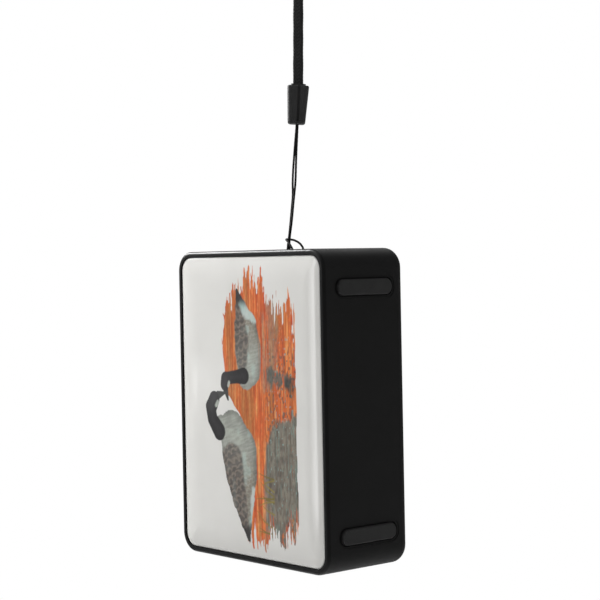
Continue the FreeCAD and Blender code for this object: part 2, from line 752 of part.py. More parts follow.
def make_driver():
    back = flange_y - driver_flange_thick
    seat = flange_y - 7.4
    floor = flange_y - 10.0
    basket = block_y(2 * driver_half_side, 2 * driver_half_side, 6.0, back, flange_y, 0, driver_z)
    basket = basket.cut(rod(surround_roll_outer, (0, back - 1, driver_z), (0, flange_y + 1, driver_z)))
    bowl = spun([(surround_roll_outer, flange_y - 0.3), (24.4, flange_y - 0.3), (24.4, back),
                 (20.4, seat - 1.0), (17.4, seat - 1.0), (17.4, floor), (coil_inner + 1.0, floor),
                 (coil_inner + 1.0, floor + 1.0), (16.4, floor + 1.0), (16.4, seat), (19.8, seat),
                 (surround_roll_outer, back)], driver_z)
    for turn in range(4):
        window = plain_box(18.2, 30, seat + 0.8, back - 0.6, driver_z - 6.5, driver_z + 6.5)
        window.rotate(vec(0, 0, driver_z), vec(0, 1, 0), 90 * turn)
        bowl = bowl.cut(window)
    basket = basket.fuse(bowl)
    for x, z in driver_screw_places():
        basket = basket.cut(rod(small_screw_radius + 0.15, (x, back - 1, z), (x, flange_y + 1, z)))
    pieces["driver_basket"] = basket.removeSplitter()

    plate_low = floor - top_plate_thick
    magnet_low = plate_low - magnet_thick
    yoke_low = magnet_low - yoke_thick
    pieces["driver_top_plate"] = ring(yoke_radius, coil_inner + 1.0, plate_low, floor, driver_z)
    pieces["driver_magnet"] = ring(magnet_radius, 9.5, magnet_low, plate_low, driver_z)
    yoke = rod(yoke_radius, (0, yoke_low, driver_z), (0, magnet_low, driver_z))
    yoke = yoke.fuse(rod(pole_radius, (0, magnet_low, driver_z), (0, floor, driver_z)))
    pieces["driver_yoke"] = yoke.removeSplitter()

    cone_foot = flange_y - 5.6
    coil_outer = coil_inner + coil_thick
    pieces["driver_voice_coil"] = ring(coil_outer, coil_inner, cone_foot + 0.8 - coil_long, cone_foot + 0.8,
                                       driver_z)
    rim_low = cone_foot + cone_depth
    pieces["driver_cone"] = spun([(coil_outer, cone_foot), (surround_inner, rim_low),
                                  (surround_inner, rim_low + cone_thick + 0.15),
                                  (coil_outer, cone_foot + cone_thick + 0.3)], driver_z)
    pieces["driver_dust_cap"] = dust_cap(cone_foot + cone_thick + 0.3)
    pieces["driver_surround"] = surround_solid(rim_low)
    pieces["driver_spider"] = spider_solid(seat, coil_outer)

    terminals = [plain_box(-26.0, -24.6, back - 3.0, back, driver_z + side * 5 - 1, driver_z + side * 5 + 1)
                 for side in (1, -1)]
    pieces["driver_terminals"] = Part.makeCompound(terminals)
    pieces["driver_gasket"] = ring(driver_half_side - 0.3, surround_roll_outer + 0.9,
                                   rear_inner_y - gasket_thick, rear_inner_y, driver_z)
    screws = []
    for x, z in driver_screw_places():
        shank = rod(small_screw_radius, (x, back, z), (x, driver_screw_tip_y() - 0.1, z))
        screws.append(shank.fuse(rod(small_screw_head, (x, back - small_head_thick, z), (x, back, z))))
    pieces["driver_screws"] = Part.makeCompound(screws)


def dust_cap(base_y):
    """Thin dome of one radius over the voice coil."""
    foot = coil_inner + coil_thick + cap_overhang
    bend = (foot * foot + cap_high * cap_high) / (2 * cap_high)
    middle = vec(0, base_y + cap_high - bend, driver_z)
    dome = Part.makeSphere(bend, middle).cut(Part.makeSphere(bend - cap_thick, middle))
    keep = rod(foot + 1, (0, base_y + cap_thick, driver_z), (0, base_y + cap_high + 1, driver_z))
    return dome.common(keep)


def surround_solid(rim_low):
    """Rubber half roll between the cone's rim and a flat edge on the basket's flange."""
    low = flange_y
    top = low + surround_thick
    inner_edge = surround_inner
    middle = (inner_edge + surround_roll_outer) / 2
    lift = rim_low + cone_thick + 0.15

    outer_high = top + surround_high
    inner_high = outer_high - surround_thick
    start_out = vec(inner_edge, lift, driver_z)
    start_in = vec(inner_edge + surround_thick, lift, driver_z)
    end_out = vec(surround_roll_outer + 0.05, top, driver_z)
    end_in = vec(surround_roll_outer - surround_thick, low + 0.02, driver_z)
    edges = [
        Part.Arc(start_out, vec(middle, outer_high, driver_z), end_out).toShape(),
        Part.LineSegment(end_out, vec(surround_outer, top, driver_z)).toShape(),
        Part.LineSegment(vec(surround_outer, top, driver_z), vec(surround_outer, low, driver_z)).toShape(),
        Part.LineSegment(vec(surround_outer, low, driver_z),
                         vec(surround_roll_outer, low, driver_z)).toShape(),
        Part.LineSegment(vec(surround_roll_outer, low, driver_z), end_in).toShape(),
        Part.Arc(end_in, vec(middle, inner_high, driver_z), start_in).toShape(),
        Part.LineSegment(start_in, start_out).toShape(),
    ]
    face = Part.Face(Part.Wire(edges))
    return face.revolve(vec(0, 0, driver_z), vec(0, 1, 0), 360)


def spider_solid(seat, coil_outer):
    """Corrugated cloth disc from the voice coil to the basket's inner seat."""
    step = (spider_flat - coil_outer) / (2 * spider_waves)
    lower = [(coil_outer, seat)]
    for i in range(1, 2 * spider_waves):
        lower.append((coil_outer + i * step, seat + (spider_wave_high if i % 2 else 0.0)))
    lower += [(spider_flat, seat), (spider_outer, seat)]
    upper = [(r, y + spider_thick) for r, y in reversed(lower)]
    return spun(lower + upper, driver_z)


# Leads: round wires of straight runs joined by tangent arcs

def routed_wire(points, label):
    """Straight runs joined by tangent arcs, each arc as large as its two runs allow."""
    radii = []
    edges = []
    start = points[0]
    for i in range(1, len(points) - 1):
        before, corner, after = points[i - 1], points[i], points[i + 1]
        into = corner - before
        out = after - corner
        half_turn = into.getAngle(out) / 2
        back_off = 0.45 * min(into.Length, out.Length)
        radius = back_off / math.tan(half_turn)
        radii.append(radius)
        a = corner - into.normalize() * back_off
        b = corner + out.normalize() * back_off
        bisector = (a + b) * 0.5 - corner
        depth = radius / math.cos(half_turn) - radius
        middle = corner + bisector.normalize() * depth
        edges.append(Part.LineSegment(start, a).toShape())
        edges.append(Part.Arc(a, middle, b).toShape())
        start = b
    edges.append(Part.LineSegment(start, points[-1]).toShape())
    print(label, "bend radii", [round(r, 2) for r in radii])
    return Part.Wire(edges)


def round_cord(points, radius, label):
    path = routed_wire(points, label)
    edge = path.Edges[0]
    direction = edge.tangentAt(edge.FirstParameter)
    circle = Part.Wire(Part.Circle(points[0], direction, radius).toShape())
    solid = path.makePipeShell([circle], True, True)
    expected = math.pi * radius * radius * path.Length
    print(label, "length", round(path.Length, 2), "volume", round(solid.Volume, 2),
          "of", round(expected, 2), "valid", solid.isValid())
    return solid


def make_leads():
    half = cell_long / 2 + lead_radius + 0.1
    out_x = cell_long / 2 + tab_thick + 0.1 + cradle_end + lead_radius + 0.25
    leads = []
    for side in (1, -1):
        points = [vec(side * half, tab_top_y(), cell_z), vec(side * half, tab_top_y() + 2.6, cell_z),
                  vec(side * out_x, tab_top_y() + 2.6, cell_z - 3), vec(side * out_x, -2, cell_z - 5),
                  vec(side * out_x, -7.6, cell_z - 8),
                  vec(side * (out_x - 0.1), board_back_y + 2.9, cell_z - 14),
                  vec(side * 31.0, board_back_y + 2.8, cell_z - 18),
                  vec(side * 25.0, board_back_y + 2.6, cell_z - 19),
                  vec(side * 25.0, board_back_y, cell_z - 19)]
        leads.append(round_cord(points, lead_radius, "battery lead"))
    pieces["battery_leads"] = Part.makeCompound(leads)
    back = flange_y - driver_flange_thick
    wires = []
    for side in (1, -1):
        z = driver_z + side * 5
        points = [vec(-25.3, back - 3.0, z), vec(-25.3, back - 6.5, z), vec(-24.5, 0.0, z + side * 2),
                  vec(-21.5, -5.0, z + side * 1), vec(-21.0, board_back_y + 2.4, z),
                  vec(-21.0, board_back_y, z)]
        wires.append(round_cord(points, lead_radius, "speaker lead"))
    pieces["speaker_leads"] = Part.makeCompound(wires)


def make_cover_screws():
    screws = []
    for x, z in corners_of(screw_x, screw_z):
        shank = rod(cover_screw_radius, (x, screw_tip_y() + 0.3, z), (x, head_seat_y(), z))
        head = rod(cover_screw_head, (x, head_seat_y(), z), (x, head_seat_y() + 1.7, z))
        head = head.makeFillet(0.4, edges_on(head, "Y", head_seat_y() + 1.7))
        slot = Part.makeCompound([
            plain_box(x - 1.3, x + 1.3, head_seat_y() + 0.8, head_seat_y() + 3, z - 0.25, z + 0.25),
            plain_box(x - 0.25, x + 0.25, head_seat_y() + 0.8, head_seat_y() + 3, z - 1.3, z + 1.3)])
        screws.append(shank.fuse(head).cut(slot).removeSplitter())
    pieces["cover_screws"] = Part.makeCompound(screws)


# Lanyard, drawn about the middle of the +Z end

def strap_axes():
    """Across the strap's width, from leg to leg, and up along the strap."""
    turn = math.radians(strap_turn)
    lean = math.radians(strap_lean)
    legs = vec(-math.sin(turn), math.cos(turn), 0)
    up = vec(0, math.sin(lean), math.cos(lean))
    legs = (legs - up * legs.dot(up)).normalize()
    return legs.cross(up).normalize(), legs, up


def strap_point(across, along):
    width, legs, up = strap_axes()
    return strap_foot + legs * across + up * along


def loop_seat():
    """Where a hook or a wrist bears, on the inside of the loop's top."""
    return strap_point(0, max(along for across, along in strap_route) - strap_thick / 2)


def make_strap():
    width, legs, up = strap_axes()
    path = routed_wire([strap_point(a, b) for a, b in strap_route], "strap")
    corner = strap_point(*strap_route[0])
    edge = path.Edges[0]
    along = edge.tangentAt(edge.FirstParameter)
    side = width.cross(along).normalize()
    corners = [corner + width * (sx * strap_width / 2) + side * (sy * strap_thick / 2)
               for sx, sy in ((-1, -1), (1, -1), (1, 1), (-1, 1))]
    section = Part.makePolygon(corners + corners[:1])
    strap = path.makePipeShell([section], True, True)
    expected = strap_width * strap_thick * path.Length
    print("strap length", round(path.Length, 2), "volume", round(strap.Volume, 1), "of", round(expected, 1),
          "valid", strap.isValid())
    return strap


def make_ferrule():
    """Tapered crimp with a slit down its face, drawn upright and then turned to lie on the lanyard."""
    top = ferrule_top_width / 2
    foot = ferrule_foot_width / 2
    depth = ferrule_depth / 2
    outline = [vec(-foot, -depth, 0), vec(foot, -depth, 0), vec(top, -depth, ferrule_long),
               vec(-top, -depth, ferrule_long)]
    body = Part.Face(Part.makePolygon(outline + outline[:1])).extrude(vec(0, 2 * depth, 0))
    upright = [e for e in body.Edges if e.BoundBox.ZLength > ferrule_long - 0.1]
    body = body.makeFillet(ferrule_round, upright)
    body = body.makeFillet(ferrule_foot_round, edges_on(body, "Z", 0))
    collar = block_z(5.4, 4.2, 1.2, ferrule_long - 0.5, ferrule_long + 0.6)
    body = body.makeFillet(ferrule_top_round, edges_on(body, "Z", ferrule_long)).fuse(collar)
    half_slit = ferrule_slit / 2
    slit = plain_box(ferrule_slit_x - half_slit, ferrule_slit_x + half_slit, -depth - 1,
                     -depth + ferrule_slit_deep, 1.2, ferrule_long + 1)
    groove = [vec(ferrule_slit_x - ferrule_bevel, -depth - 0.01, 0.9),
              vec(ferrule_slit_x + ferrule_bevel, -depth - 0.01, 0.9),
              vec(ferrule_slit_x, -depth + ferrule_bevel, 0.9)]
    bevel = Part.Face(Part.makePolygon(groove + groove[:1])).extrude(vec(0, 0, ferrule_long))
    body = body.cut(slit).cut(bevel)
    turn = math.radians(strap_turn)
    lean = math.radians(ferrule_lean)
    level = vec(math.cos(turn), math.sin(turn), 0)
    away = vec(-math.sin(turn), math.cos(turn), 0)
    across = level * math.cos(lean) - vec(0, 0, math.sin(lean))
    up = across.cross(away)
    matrix = FreeCAD.Matrix(across.x, away.x, up.x, ferrule_foot.x, across.y, away.y, up.y, ferrule_foot.y,
                            across.z, away.z, up.z, ferrule_foot.z, 0, 0, 0, 1)
    return body.transformGeometry(matrix)


def make_lanyard():
    strap = make_strap()
    cord = round_cord([vec(*p) for p in cord_route], cord_radius, "cord")
    ferrule = make_ferrule().cut(strap).cut(cord).removeSplitter()
    lift = vec(0, 0, half_length)
    for name, shape in (("lanyard_strap", strap), ("lanyard_cord", cord), ("lanyard_ferrule", ferrule)):
        shape.translate(lift)
        pieces[name] = shape
    pieces["lanyard_pin"] = lanyard_pin_solid()


def hang_and_write():
    """Move everything so that the loop's seat is the origin, and write one file for each piece."""
    shift = vec(0, 0, -half_length) - loop_seat()
    print("middle of the box at", tuple(round(v, 3) for v in shift))
    for name, shape in pieces.items():
        shape.translate(shift)
        shape.exportStep("parts/" + name + ".step")
    print(len(pieces), "pieces")


make_front()
make_housing()
make_rear()
make_feet()
make_keys()
make_port_cover()
make_main_board()
make_ports()
make_button_board()
make_battery()
make_driver()
make_leads()
make_cover_screws()
make_lanyard()
hang_and_write()
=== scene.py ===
import math

import bmesh
import bpy
import numpy as np
from mathutils import Matrix, Vector


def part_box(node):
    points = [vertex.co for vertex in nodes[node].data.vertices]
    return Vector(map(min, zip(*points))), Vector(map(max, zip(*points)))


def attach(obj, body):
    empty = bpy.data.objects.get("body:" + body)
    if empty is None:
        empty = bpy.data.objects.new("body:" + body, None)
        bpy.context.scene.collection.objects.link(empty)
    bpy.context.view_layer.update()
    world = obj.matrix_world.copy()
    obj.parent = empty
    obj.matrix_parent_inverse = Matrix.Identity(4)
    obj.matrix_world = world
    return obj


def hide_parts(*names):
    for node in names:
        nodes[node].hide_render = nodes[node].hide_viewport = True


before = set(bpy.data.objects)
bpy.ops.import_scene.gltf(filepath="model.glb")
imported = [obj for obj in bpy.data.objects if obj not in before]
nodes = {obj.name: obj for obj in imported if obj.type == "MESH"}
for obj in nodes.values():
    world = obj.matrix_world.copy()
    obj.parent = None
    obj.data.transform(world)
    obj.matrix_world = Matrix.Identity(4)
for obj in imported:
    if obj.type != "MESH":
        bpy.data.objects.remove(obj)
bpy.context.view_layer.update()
scene = bpy.context.scene
millimetre = 0.001

# The middle of the box, and the middle of the end that the lanyard leaves
panelLow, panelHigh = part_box("front_panel")
rearLow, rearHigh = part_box("rear_cover")
boxMiddle = (rearLow + rearHigh) / 2
boxMiddle.y = (panelLow.y + rearHigh.y) / 2
endMiddle = Vector((boxMiddle.x, boxMiddle.y, rearHigh.z))

camera = {
    "away": Vector((0.4476, -0.3808, 0.0502)),   # from the middle of the box
    "turn": 49.165, "rise": 0.275, "roll": 1.088,   # degrees
    "lens": 98.24, "shiftY": -0.0484,
}


def makeCamera():
    turn, rise, roll = (math.radians(camera[key]) for key in ("turn", "rise", "roll"))
    level = Vector((math.cos(turn), math.sin(turn), 0))
    back = Vector((math.sin(turn) * math.cos(rise), -math.cos(turn) * math.cos(rise), math.sin(rise)))
    plumb = back.cross(level)
    across = level * math.cos(roll) - plumb * math.sin(roll)
    upward = level * math.sin(roll) + plumb * math.cos(roll)
    data = bpy.data.cameras.new("product_camera")
    data.lens = camera["lens"]
    data.sensor_width = 36
    data.shift_y = camera["shiftY"]
    data.clip_start, data.clip_end = 0.01, 50
    made = bpy.data.objects.new("product_camera", data)
    pose = Matrix((across, upward, back)).transposed().to_4x4()
    made.matrix_world = Matrix.Translation(boxMiddle + camera["away"]) @ pose
    scene.collection.objects.link(made)
    scene.camera = made


makeCamera()
print("camera placed")


# Shader node groups: each puts out masks and heights only

def startGroup(name, inputs, outputs):
    tree = bpy.data.node_groups.new(name, "ShaderNodeTree")
    for label, value in inputs.items():
        kind = "NodeSocketVector" if label == "Place" else "NodeSocketFloat"
        socket = tree.interface.new_socket(label, in_out="INPUT", socket_type=kind)
        if label != "Place":
            socket.default_value = value
    for label in outputs:
        tree.interface.new_socket(label, in_out="OUTPUT", socket_type="NodeSocketFloat")
    return tree, tree.nodes.new("NodeGroupInput"), tree.nodes.new("NodeGroupOutput")


def addNode(tree, kind, links=None, **settings):
    made = tree.nodes.new(kind)
    for key, value in settings.items():
        setattr(made, key, value)
    for socket, source in (links or {}).items():
        if isinstance(source, bpy.types.NodeSocket):
            tree.links.new(source, made.inputs[socket])
        else:
            made.inputs[socket].default_value = source
    return made


def calc(tree, operation, first, second=0.0):
    return addNode(tree, "ShaderNodeMath", {0: first, 1: second}, operation=operation).outputs[0]


def spread(tree, value, low, high, outLow=0.0, outHigh=1.0):
    return addNode(tree, "ShaderNodeMapRange", {"Value": value, "From Min": low, "From Max": high,
                                                "To Min": outLow, "To Max": outHigh}).outputs[0]


def makeMouldGroup():
    # Spark-eroded mould texture: fine grain, broad smudges from handling, and a few light specks
    inputs = {"Grain Scale": 3500.0, "Smudge Scale": 60.0}
    tree, start, end = startGroup("mould_texture", inputs, ("Grain", "Smudge", "Speck"))
    place = addNode(tree, "ShaderNodeTexCoord").outputs["Object"]
    grain = addNode(tree, "ShaderNodeTexNoise", {"Vector": place, "Scale": start.outputs["Grain Scale"],
                                                 "Detail": 3.0, "Roughness": 0.6})
    smudge = addNode(tree, "ShaderNodeTexNoise", {"Vector": place, "Scale": start.outputs["Smudge Scale"],
                                                  "Detail": 4.0, "Roughness": 0.55, "Distortion": 0.4})
    cells = calc(tree, "MULTIPLY", start.outputs["Grain Scale"], 0.09)
    speck = addNode(tree, "ShaderNodeTexVoronoi", {"Vector": place, "Scale": cells})
    tree.links.new(grain.outputs["Fac"], end.inputs["Grain"])
    tree.links.new(spread(tree, smudge.outputs["Fac"], 0.3, 0.7), end.inputs["Smudge"])
    tree.links.new(spread(tree, speck.outputs["Distance"], 0.10, 0.03), end.inputs["Speck"])
    return tree


def makeThreadGroup():
    # Threads over and under each other, in two directions of a place in metres
    inputs = {"Place": None, "Thread Scale": 2500.0, "Slant": 0.0}
    tree, start, end = startGroup("thread_weave", inputs, ("Height", "Shade"))
    parts = addNode(tree, "ShaderNodeSeparateXYZ", {0: start.outputs["Place"]})
    first = calc(tree, "MULTIPLY", parts.outputs[0], start.outputs["Thread Scale"])
    second = calc(tree, "MULTIPLY", parts.outputs[1], start.outputs["Thread Scale"])
    leaning = calc(tree, "ADD", first, calc(tree, "MULTIPLY", second, start.outputs["Slant"]))
    over = calc(tree, "SINE", leaning)
    under = calc(tree, "SINE", second)
    crossing = calc(tree, "MULTIPLY", over, under)
    fuzz = addNode(tree, "ShaderNodeTexNoise", {"Vector": start.outputs["Place"], "Scale": 9000.0,
                                                "Detail": 3.0})
    fuzz = calc(tree, "MULTIPLY", fuzz.outputs["Fac"], 0.5)
    height = calc(tree, "ADD", spread(tree, crossing, -1.0, 1.0), fuzz)
    tree.links.new(height, end.inputs["Height"])
    tree.links.new(spread(tree, crossing, -0.8, 0.8), end.inputs["Shade"])
    return tree


def makeStreakGroup():
    # Noise drawn out along one axis, for brushed metal and for dry-brush ink
    inputs = {"Across Scale": 4000.0, "Along Scale": 120.0}
    tree, start, end = startGroup("drawn_streaks", inputs, ("Fine", "Broad"))
    place = addNode(tree, "ShaderNodeTexCoord").outputs["Object"]
    stretch = addNode(tree, "ShaderNodeCombineXYZ", {0: start.outputs["Across Scale"],
                                                     1: start.outputs["Across Scale"],
                                                     2: start.outputs["Along Scale"]})
    drawn = addNode(tree, "ShaderNodeVectorMath", {0: place, 1: stretch.outputs[0]}, operation="MULTIPLY")
    fine = addNode(tree, "ShaderNodeTexNoise", {"Vector": drawn.outputs[0], "Scale": 1.0, "Detail": 4.0,
                                                "Roughness": 0.65})
    broad = addNode(tree, "ShaderNodeTexNoise", {"Vector": drawn.outputs[0], "Scale": 0.22, "Detail": 2.0})
    tree.links.new(fine.outputs["Fac"], end.inputs["Fine"])
    tree.links.new(broad.outputs["Fac"], end.inputs["Broad"])
    return tree


mouldGroup, threadGroup, streakGroup = makeMouldGroup(), makeThreadGroup(), makeStreakGroup()


def placeGroup(material, group, **inputs):
    made = addNode(material.node_tree, "ShaderNodeGroup", node_tree=group)
    for label, value in inputs.items():
        socket = made.inputs[label.replace("_", " ")]
        if isinstance(value, bpy.types.NodeSocket):
            material.node_tree.links.new(value, socket)
        else:
            socket.default_value = value
    return made


def startMaterial(name, **sockets):
    made = bpy.data.materials.new(name)
    made.use_nodes = True
    shader = made.node_tree.nodes["Principled BSDF"]
    for label, value in sockets.items():
        shader.inputs[label.replace("_", " ")].default_value = value
    return made, made.node_tree, shader


def linear(red, green, blue):
    # Screen colour, 0 to 255, to linear light
    shares = [value / 255 for value in (red, green, blue)]
    return tuple(((s + 0.055) / 1.055) ** 2.4 if s > 0.04045 else s / 12.92 for s in shares) + (1,)


def mixColour(tree, mask, first, second):
    made = addNode(tree, "ShaderNodeMix", data_type="RGBA")
    for index, source in ((0, mask), (6, first), (7, second)):
        if isinstance(source, bpy.types.NodeSocket):
            tree.links.new(source, made.inputs[index])
        else:
            made.inputs[index].default_value = source
    return made.outputs[2]


def addBump(tree, shader, height, distance):
    bump = addNode(tree, "ShaderNodeBump", {"Height": height, "Distance": distance, "Strength": 1.0})
    tree.links.new(bump.outputs[0], shader.inputs["Normal"])


def mouldedPlastic(name, dark, light, rough, grainScale, grainDepth, smudgeScale=60.0, **sockets):
    made, tree, shader = startMaterial(name, **sockets)
    texture = placeGroup(made, mouldGroup, Grain_Scale=grainScale, Smudge_Scale=smudgeScale)
    base = mixColour(tree, texture.outputs["Smudge"], dark, light)
    lit = tuple(min(1.0, c * 1.6 + 0.01) for c in light[:3]) + (1,)
    speck = calc(tree, "MULTIPLY", texture.outputs["Speck"], 0.25)
    tree.links.new(mixColour(tree, speck, base, lit), shader.inputs["Base Color"])
    grain = calc(tree, "MULTIPLY", texture.outputs["Grain"], 0.08)
    varied = spread(tree, texture.outputs["Smudge"], 0.0, 1.0, rough - 0.06, rough + 0.02)
    tree.links.new(calc(tree, "ADD", varied, grain), shader.inputs["Roughness"])
    addBump(tree, shader, texture.outputs["Grain"], grainDepth)
    return made


def drawnMetal(name, dark, light, rough, across=4000.0, along=120.0, depth=0.000004):
    made, tree, shader = startMaterial(name, Metallic=1.0)
    streaks = placeGroup(made, streakGroup, Across_Scale=across, Along_Scale=along)
    tree.links.new(mixColour(tree, streaks.outputs["Broad"], dark, light), shader.inputs["Base Color"])
    tree.links.new(spread(tree, streaks.outputs["Fine"], 0.2, 0.8, rough - 0.08, rough + 0.12),
                   shader.inputs["Roughness"])
    addBump(tree, shader, streaks.outputs["Fine"], depth)
    return made


def wovenCloth(name, dark, light, rough, threadScale, place=None, slant=0.0, depth=0.00004):
    made, tree, shader = startMaterial(name)
    if place is None:
        spot = addNode(tree, "ShaderNodeTexCoord").outputs["Object"]
        parts = addNode(tree, "ShaderNodeSeparateXYZ", {0: spot})
        spot = addNode(tree, "ShaderNodeCombineXYZ", {0: parts.outputs[0], 1: parts.outputs[2]}).outputs[0]
    else:
        spot = addNode(tree, "ShaderNodeAttribute", attribute_name=place).outputs["Vector"]
    weave = placeGroup(made, threadGroup, Place=spot, Thread_Scale=threadScale, Slant=slant)
    tree.links.new(mixColour(tree, weave.outputs["Shade"], dark, light), shader.inputs["Base Color"])
    tree.links.new(spread(tree, weave.outputs["Shade"], 0.0, 1.0, rough + 0.08, rough - 0.06),
                   shader.inputs["Roughness"])
    addBump(tree, shader, weave.outputs["Height"], depth)
    return made


# Tones on screen from 0 to 255, dark then light, and roughness. For moulded finishes the grain's scale and
# depth follow, for drawn ones the streaks' scale across and along, for woven ones the threads' scale
moulded = {
    "bezel_plastic": ((17, 17, 17), (24, 24, 24), 0.32, 5200.0, 0.000003, {"Specular_IOR_Level": 0.18}),
    "housing_plastic": ((20, 20, 20), (27, 27, 27), 0.56, 4200.0, 0.000014, {"Specular_IOR_Level": 0.22}),
    "foot_rubber": ((36, 36, 36), (48, 48, 48), 0.7, 5200.0, 0.00003, 160.0),
    "key_rubber": ((26, 26, 27), (35, 35, 36), 0.66, 5000.0, 0.00001),
    "flap_plastic": ((22, 22, 22), (30, 30, 30), 0.6, 4400.0, 0.000012),
    "ferrule_plastic": ((46, 46, 46), (60, 60, 60), 0.42, 5200.0, 0.000006, {"Specular_IOR_Level": 0.35}),
    "key_print": ((190, 192, 194), (214, 215, 217), 0.55, 6500.0, 0.000004),
    "grille_steel": ((22, 22, 23), (34, 34, 35), 0.42, 5200.0, 0.000006, {"Metallic": 0.35}),
    "circuit_laminate": ((16, 66, 38), (24, 88, 52), 0.38, 2500.0, 0.000012, 420.0),
    "chip_resin": ((20, 20, 22), (30, 30, 32), 0.5, 7000.0, 0.000006),
    "jack_plastic": ((18, 18, 19), (28, 28, 29), 0.45, 5200.0, 0.000005),
    "flex_film": ((176, 96, 30), (206, 126, 48), 0.3, 3000.0, 0.000004),
    "cell_wrap": ((26, 78, 142), (36, 98, 170), 0.32, 1800.0, 0.000008),
    "tray_plastic": ((30, 30, 30), (42, 42, 42), 0.55, 4000.0, 0.00001),
    "lead_sleeve": ((150, 26, 22), (186, 42, 34), 0.42, 3500.0, 0.000006),
    "magnet_ferrite": ((46, 46, 48), (66, 66, 68), 0.62, 2600.0, 0.00003),
    "cone_paper": ((36, 36, 37), (54, 54, 55), 0.8, 1600.0, 0.00005),
    "roll_rubber": ((20, 20, 20), (32, 32, 32), 0.6, 3500.0, 0.00001),
    "seal_foam": ((28, 28, 29), (48, 48, 49), 0.9, 2600.0, 0.00008),
    "glue_film": ((205, 200, 180), (228, 224, 208), 0.3, 2000.0, 0.000006),
}
drawn = {
    "screw_steel": ((60, 61, 64), (96, 97, 100), 0.3, 5000.0, 3000.0),
    "pin_steel": ((150, 151, 154), (186, 187, 190), 0.22, 3000.0, 3000.0),
    "can_aluminium": ((168, 170, 174), (206, 208, 212), 0.28, 2500.0, 2500.0),
    "contact_steel": ((160, 162, 165), (205, 206, 208), 0.22, 2500.0, 900.0),
    "switch_steel": ((160, 160, 160), (202, 202, 204), 0.3, 3500.0, 3500.0),
    "tab_nickel": ((170, 168, 160), (208, 206, 198), 0.26, 2500.0, 600.0),
    "basket_steel": ((70, 71, 74), (112, 113, 116), 0.38, 1800.0, 1800.0),
    "plate_steel": ((140, 141, 144), (184, 185, 188), 0.3, 1500.0, 1500.0),
    "coil_copper": ((168, 84, 40), (220, 132, 74), 0.28, 400.0, 9000.0),
}
woven = {
    "grille_fabric": ((10, 10, 11), (34, 34, 36), 0.85, 9000.0),
    "spider_cloth": ((150, 104, 42), (206, 156, 84), 0.8, 7000.0),
}


def makeFinishes(make, table):
    made = {}
    for name, (dark, light, *values) in table.items():
        sockets = values.pop() if isinstance(values[-1], dict) else {}
        made[name] = make(name, linear(*dark), linear(*light), *values, **sockets)
    return made


def makeLensMaterial():
    made, tree, shader = startMaterial("lens_clear", IOR=1.5, Transmission_Weight=0.85)
    texture = placeGroup(made, mouldGroup, Grain_Scale=6000.0, Smudge_Scale=900.0)
    tree.links.new(mixColour(tree, texture.outputs["Smudge"], linear(196, 206, 214), linear(226, 232, 238)),
                   shader.inputs["Base Color"])
    tree.links.new(spread(tree, texture.outputs["Grain"], 0.0, 1.0, 0.12, 0.3), shader.inputs["Roughness"])
    return made


finishes = {"lens_clear": makeLensMaterial(), **makeFinishes(mouldedPlastic, moulded),
            **makeFinishes(drawnMetal, drawn), **makeFinishes(wovenCloth, woven)}

# What each carried-over node is made of
nodeFinishes = {
    "bezel_plastic": ("front_cover",),
    "housing_plastic": ("housing", "rear_cover"),
    "foot_rubber": ("foot_pad_lower", "foot_pad_upper"),
    "key_rubber": ("power_button", "volume_down_button", "play_button", "volume_up_button", "call_button"),
    "flap_plastic": ("port_cover",),
    "ferrule_plastic": ("lanyard_ferrule",),
    "grille_steel": ("rear_grille",),
    "grille_fabric": ("grille_cloth",),
    "screw_steel": ("cover_screws", "board_screws", "cradle_screws", "driver_screws"),
    "pin_steel": ("lanyard_pin",),
    "circuit_laminate": ("main_board", "button_board"),
    "chip_resin": ("processor_chip", "memory_chip", "amplifier_chip", "power_plunger", "volume_down_plunger",
                   "play_plunger", "volume_up_plunger", "call_plunger"),
    "can_aluminium": ("board_capacitors",),
    "contact_steel": ("usb_port", "driver_terminals"),
    "jack_plastic": ("aux_jack", "usb_tongue"),
    "switch_steel": ("button_switches",),
    "lens_clear": ("status_lens", "status_led"),
    "flex_film": ("flex_cable",),
    "cell_wrap": ("battery_cell",),
    "tab_nickel": ("battery_tabs",),
    "tray_plastic": ("battery_cradle",),
    "lead_sleeve": ("battery_leads", "speaker_leads"),
    "basket_steel": ("driver_basket",),
    "magnet_ferrite": ("driver_magnet",),
    "plate_steel": ("driver_top_plate", "driver_yoke"),
    "cone_paper": ("driver_cone", "driver_dust_cap"),
    "roll_rubber": ("driver_surround",),
    "spider_cloth": ("driver_spider",),
    "coil_copper": ("driver_voice_coil",),
    "seal_foam": ("front_seal", "rear_seal", "driver_gasket"),
    "glue_film": ("panel_adhesive",),
}
for finish, members in nodeFinishes.items():
    for member in members:
        for holder in nodes[member].material_slots:
            holder.material = finishes[finish]
print("materials on the nodes")


# Mesh helpers

def meshObject(name, vertices, faces, material):
    mesh = bpy.data.meshes.new(name)
    mesh.from_pydata([tuple(v) for v in vertices], [], [tuple(f) for f in faces])
    mesh.validate()
    mesh.materials.append(material)
    mesh.polygons.foreach_set("use_smooth", [True] * len(mesh.polygons))
    made = bpy.data.objects.new(name, mesh)
    scene.collection.objects.link(made)
    return made


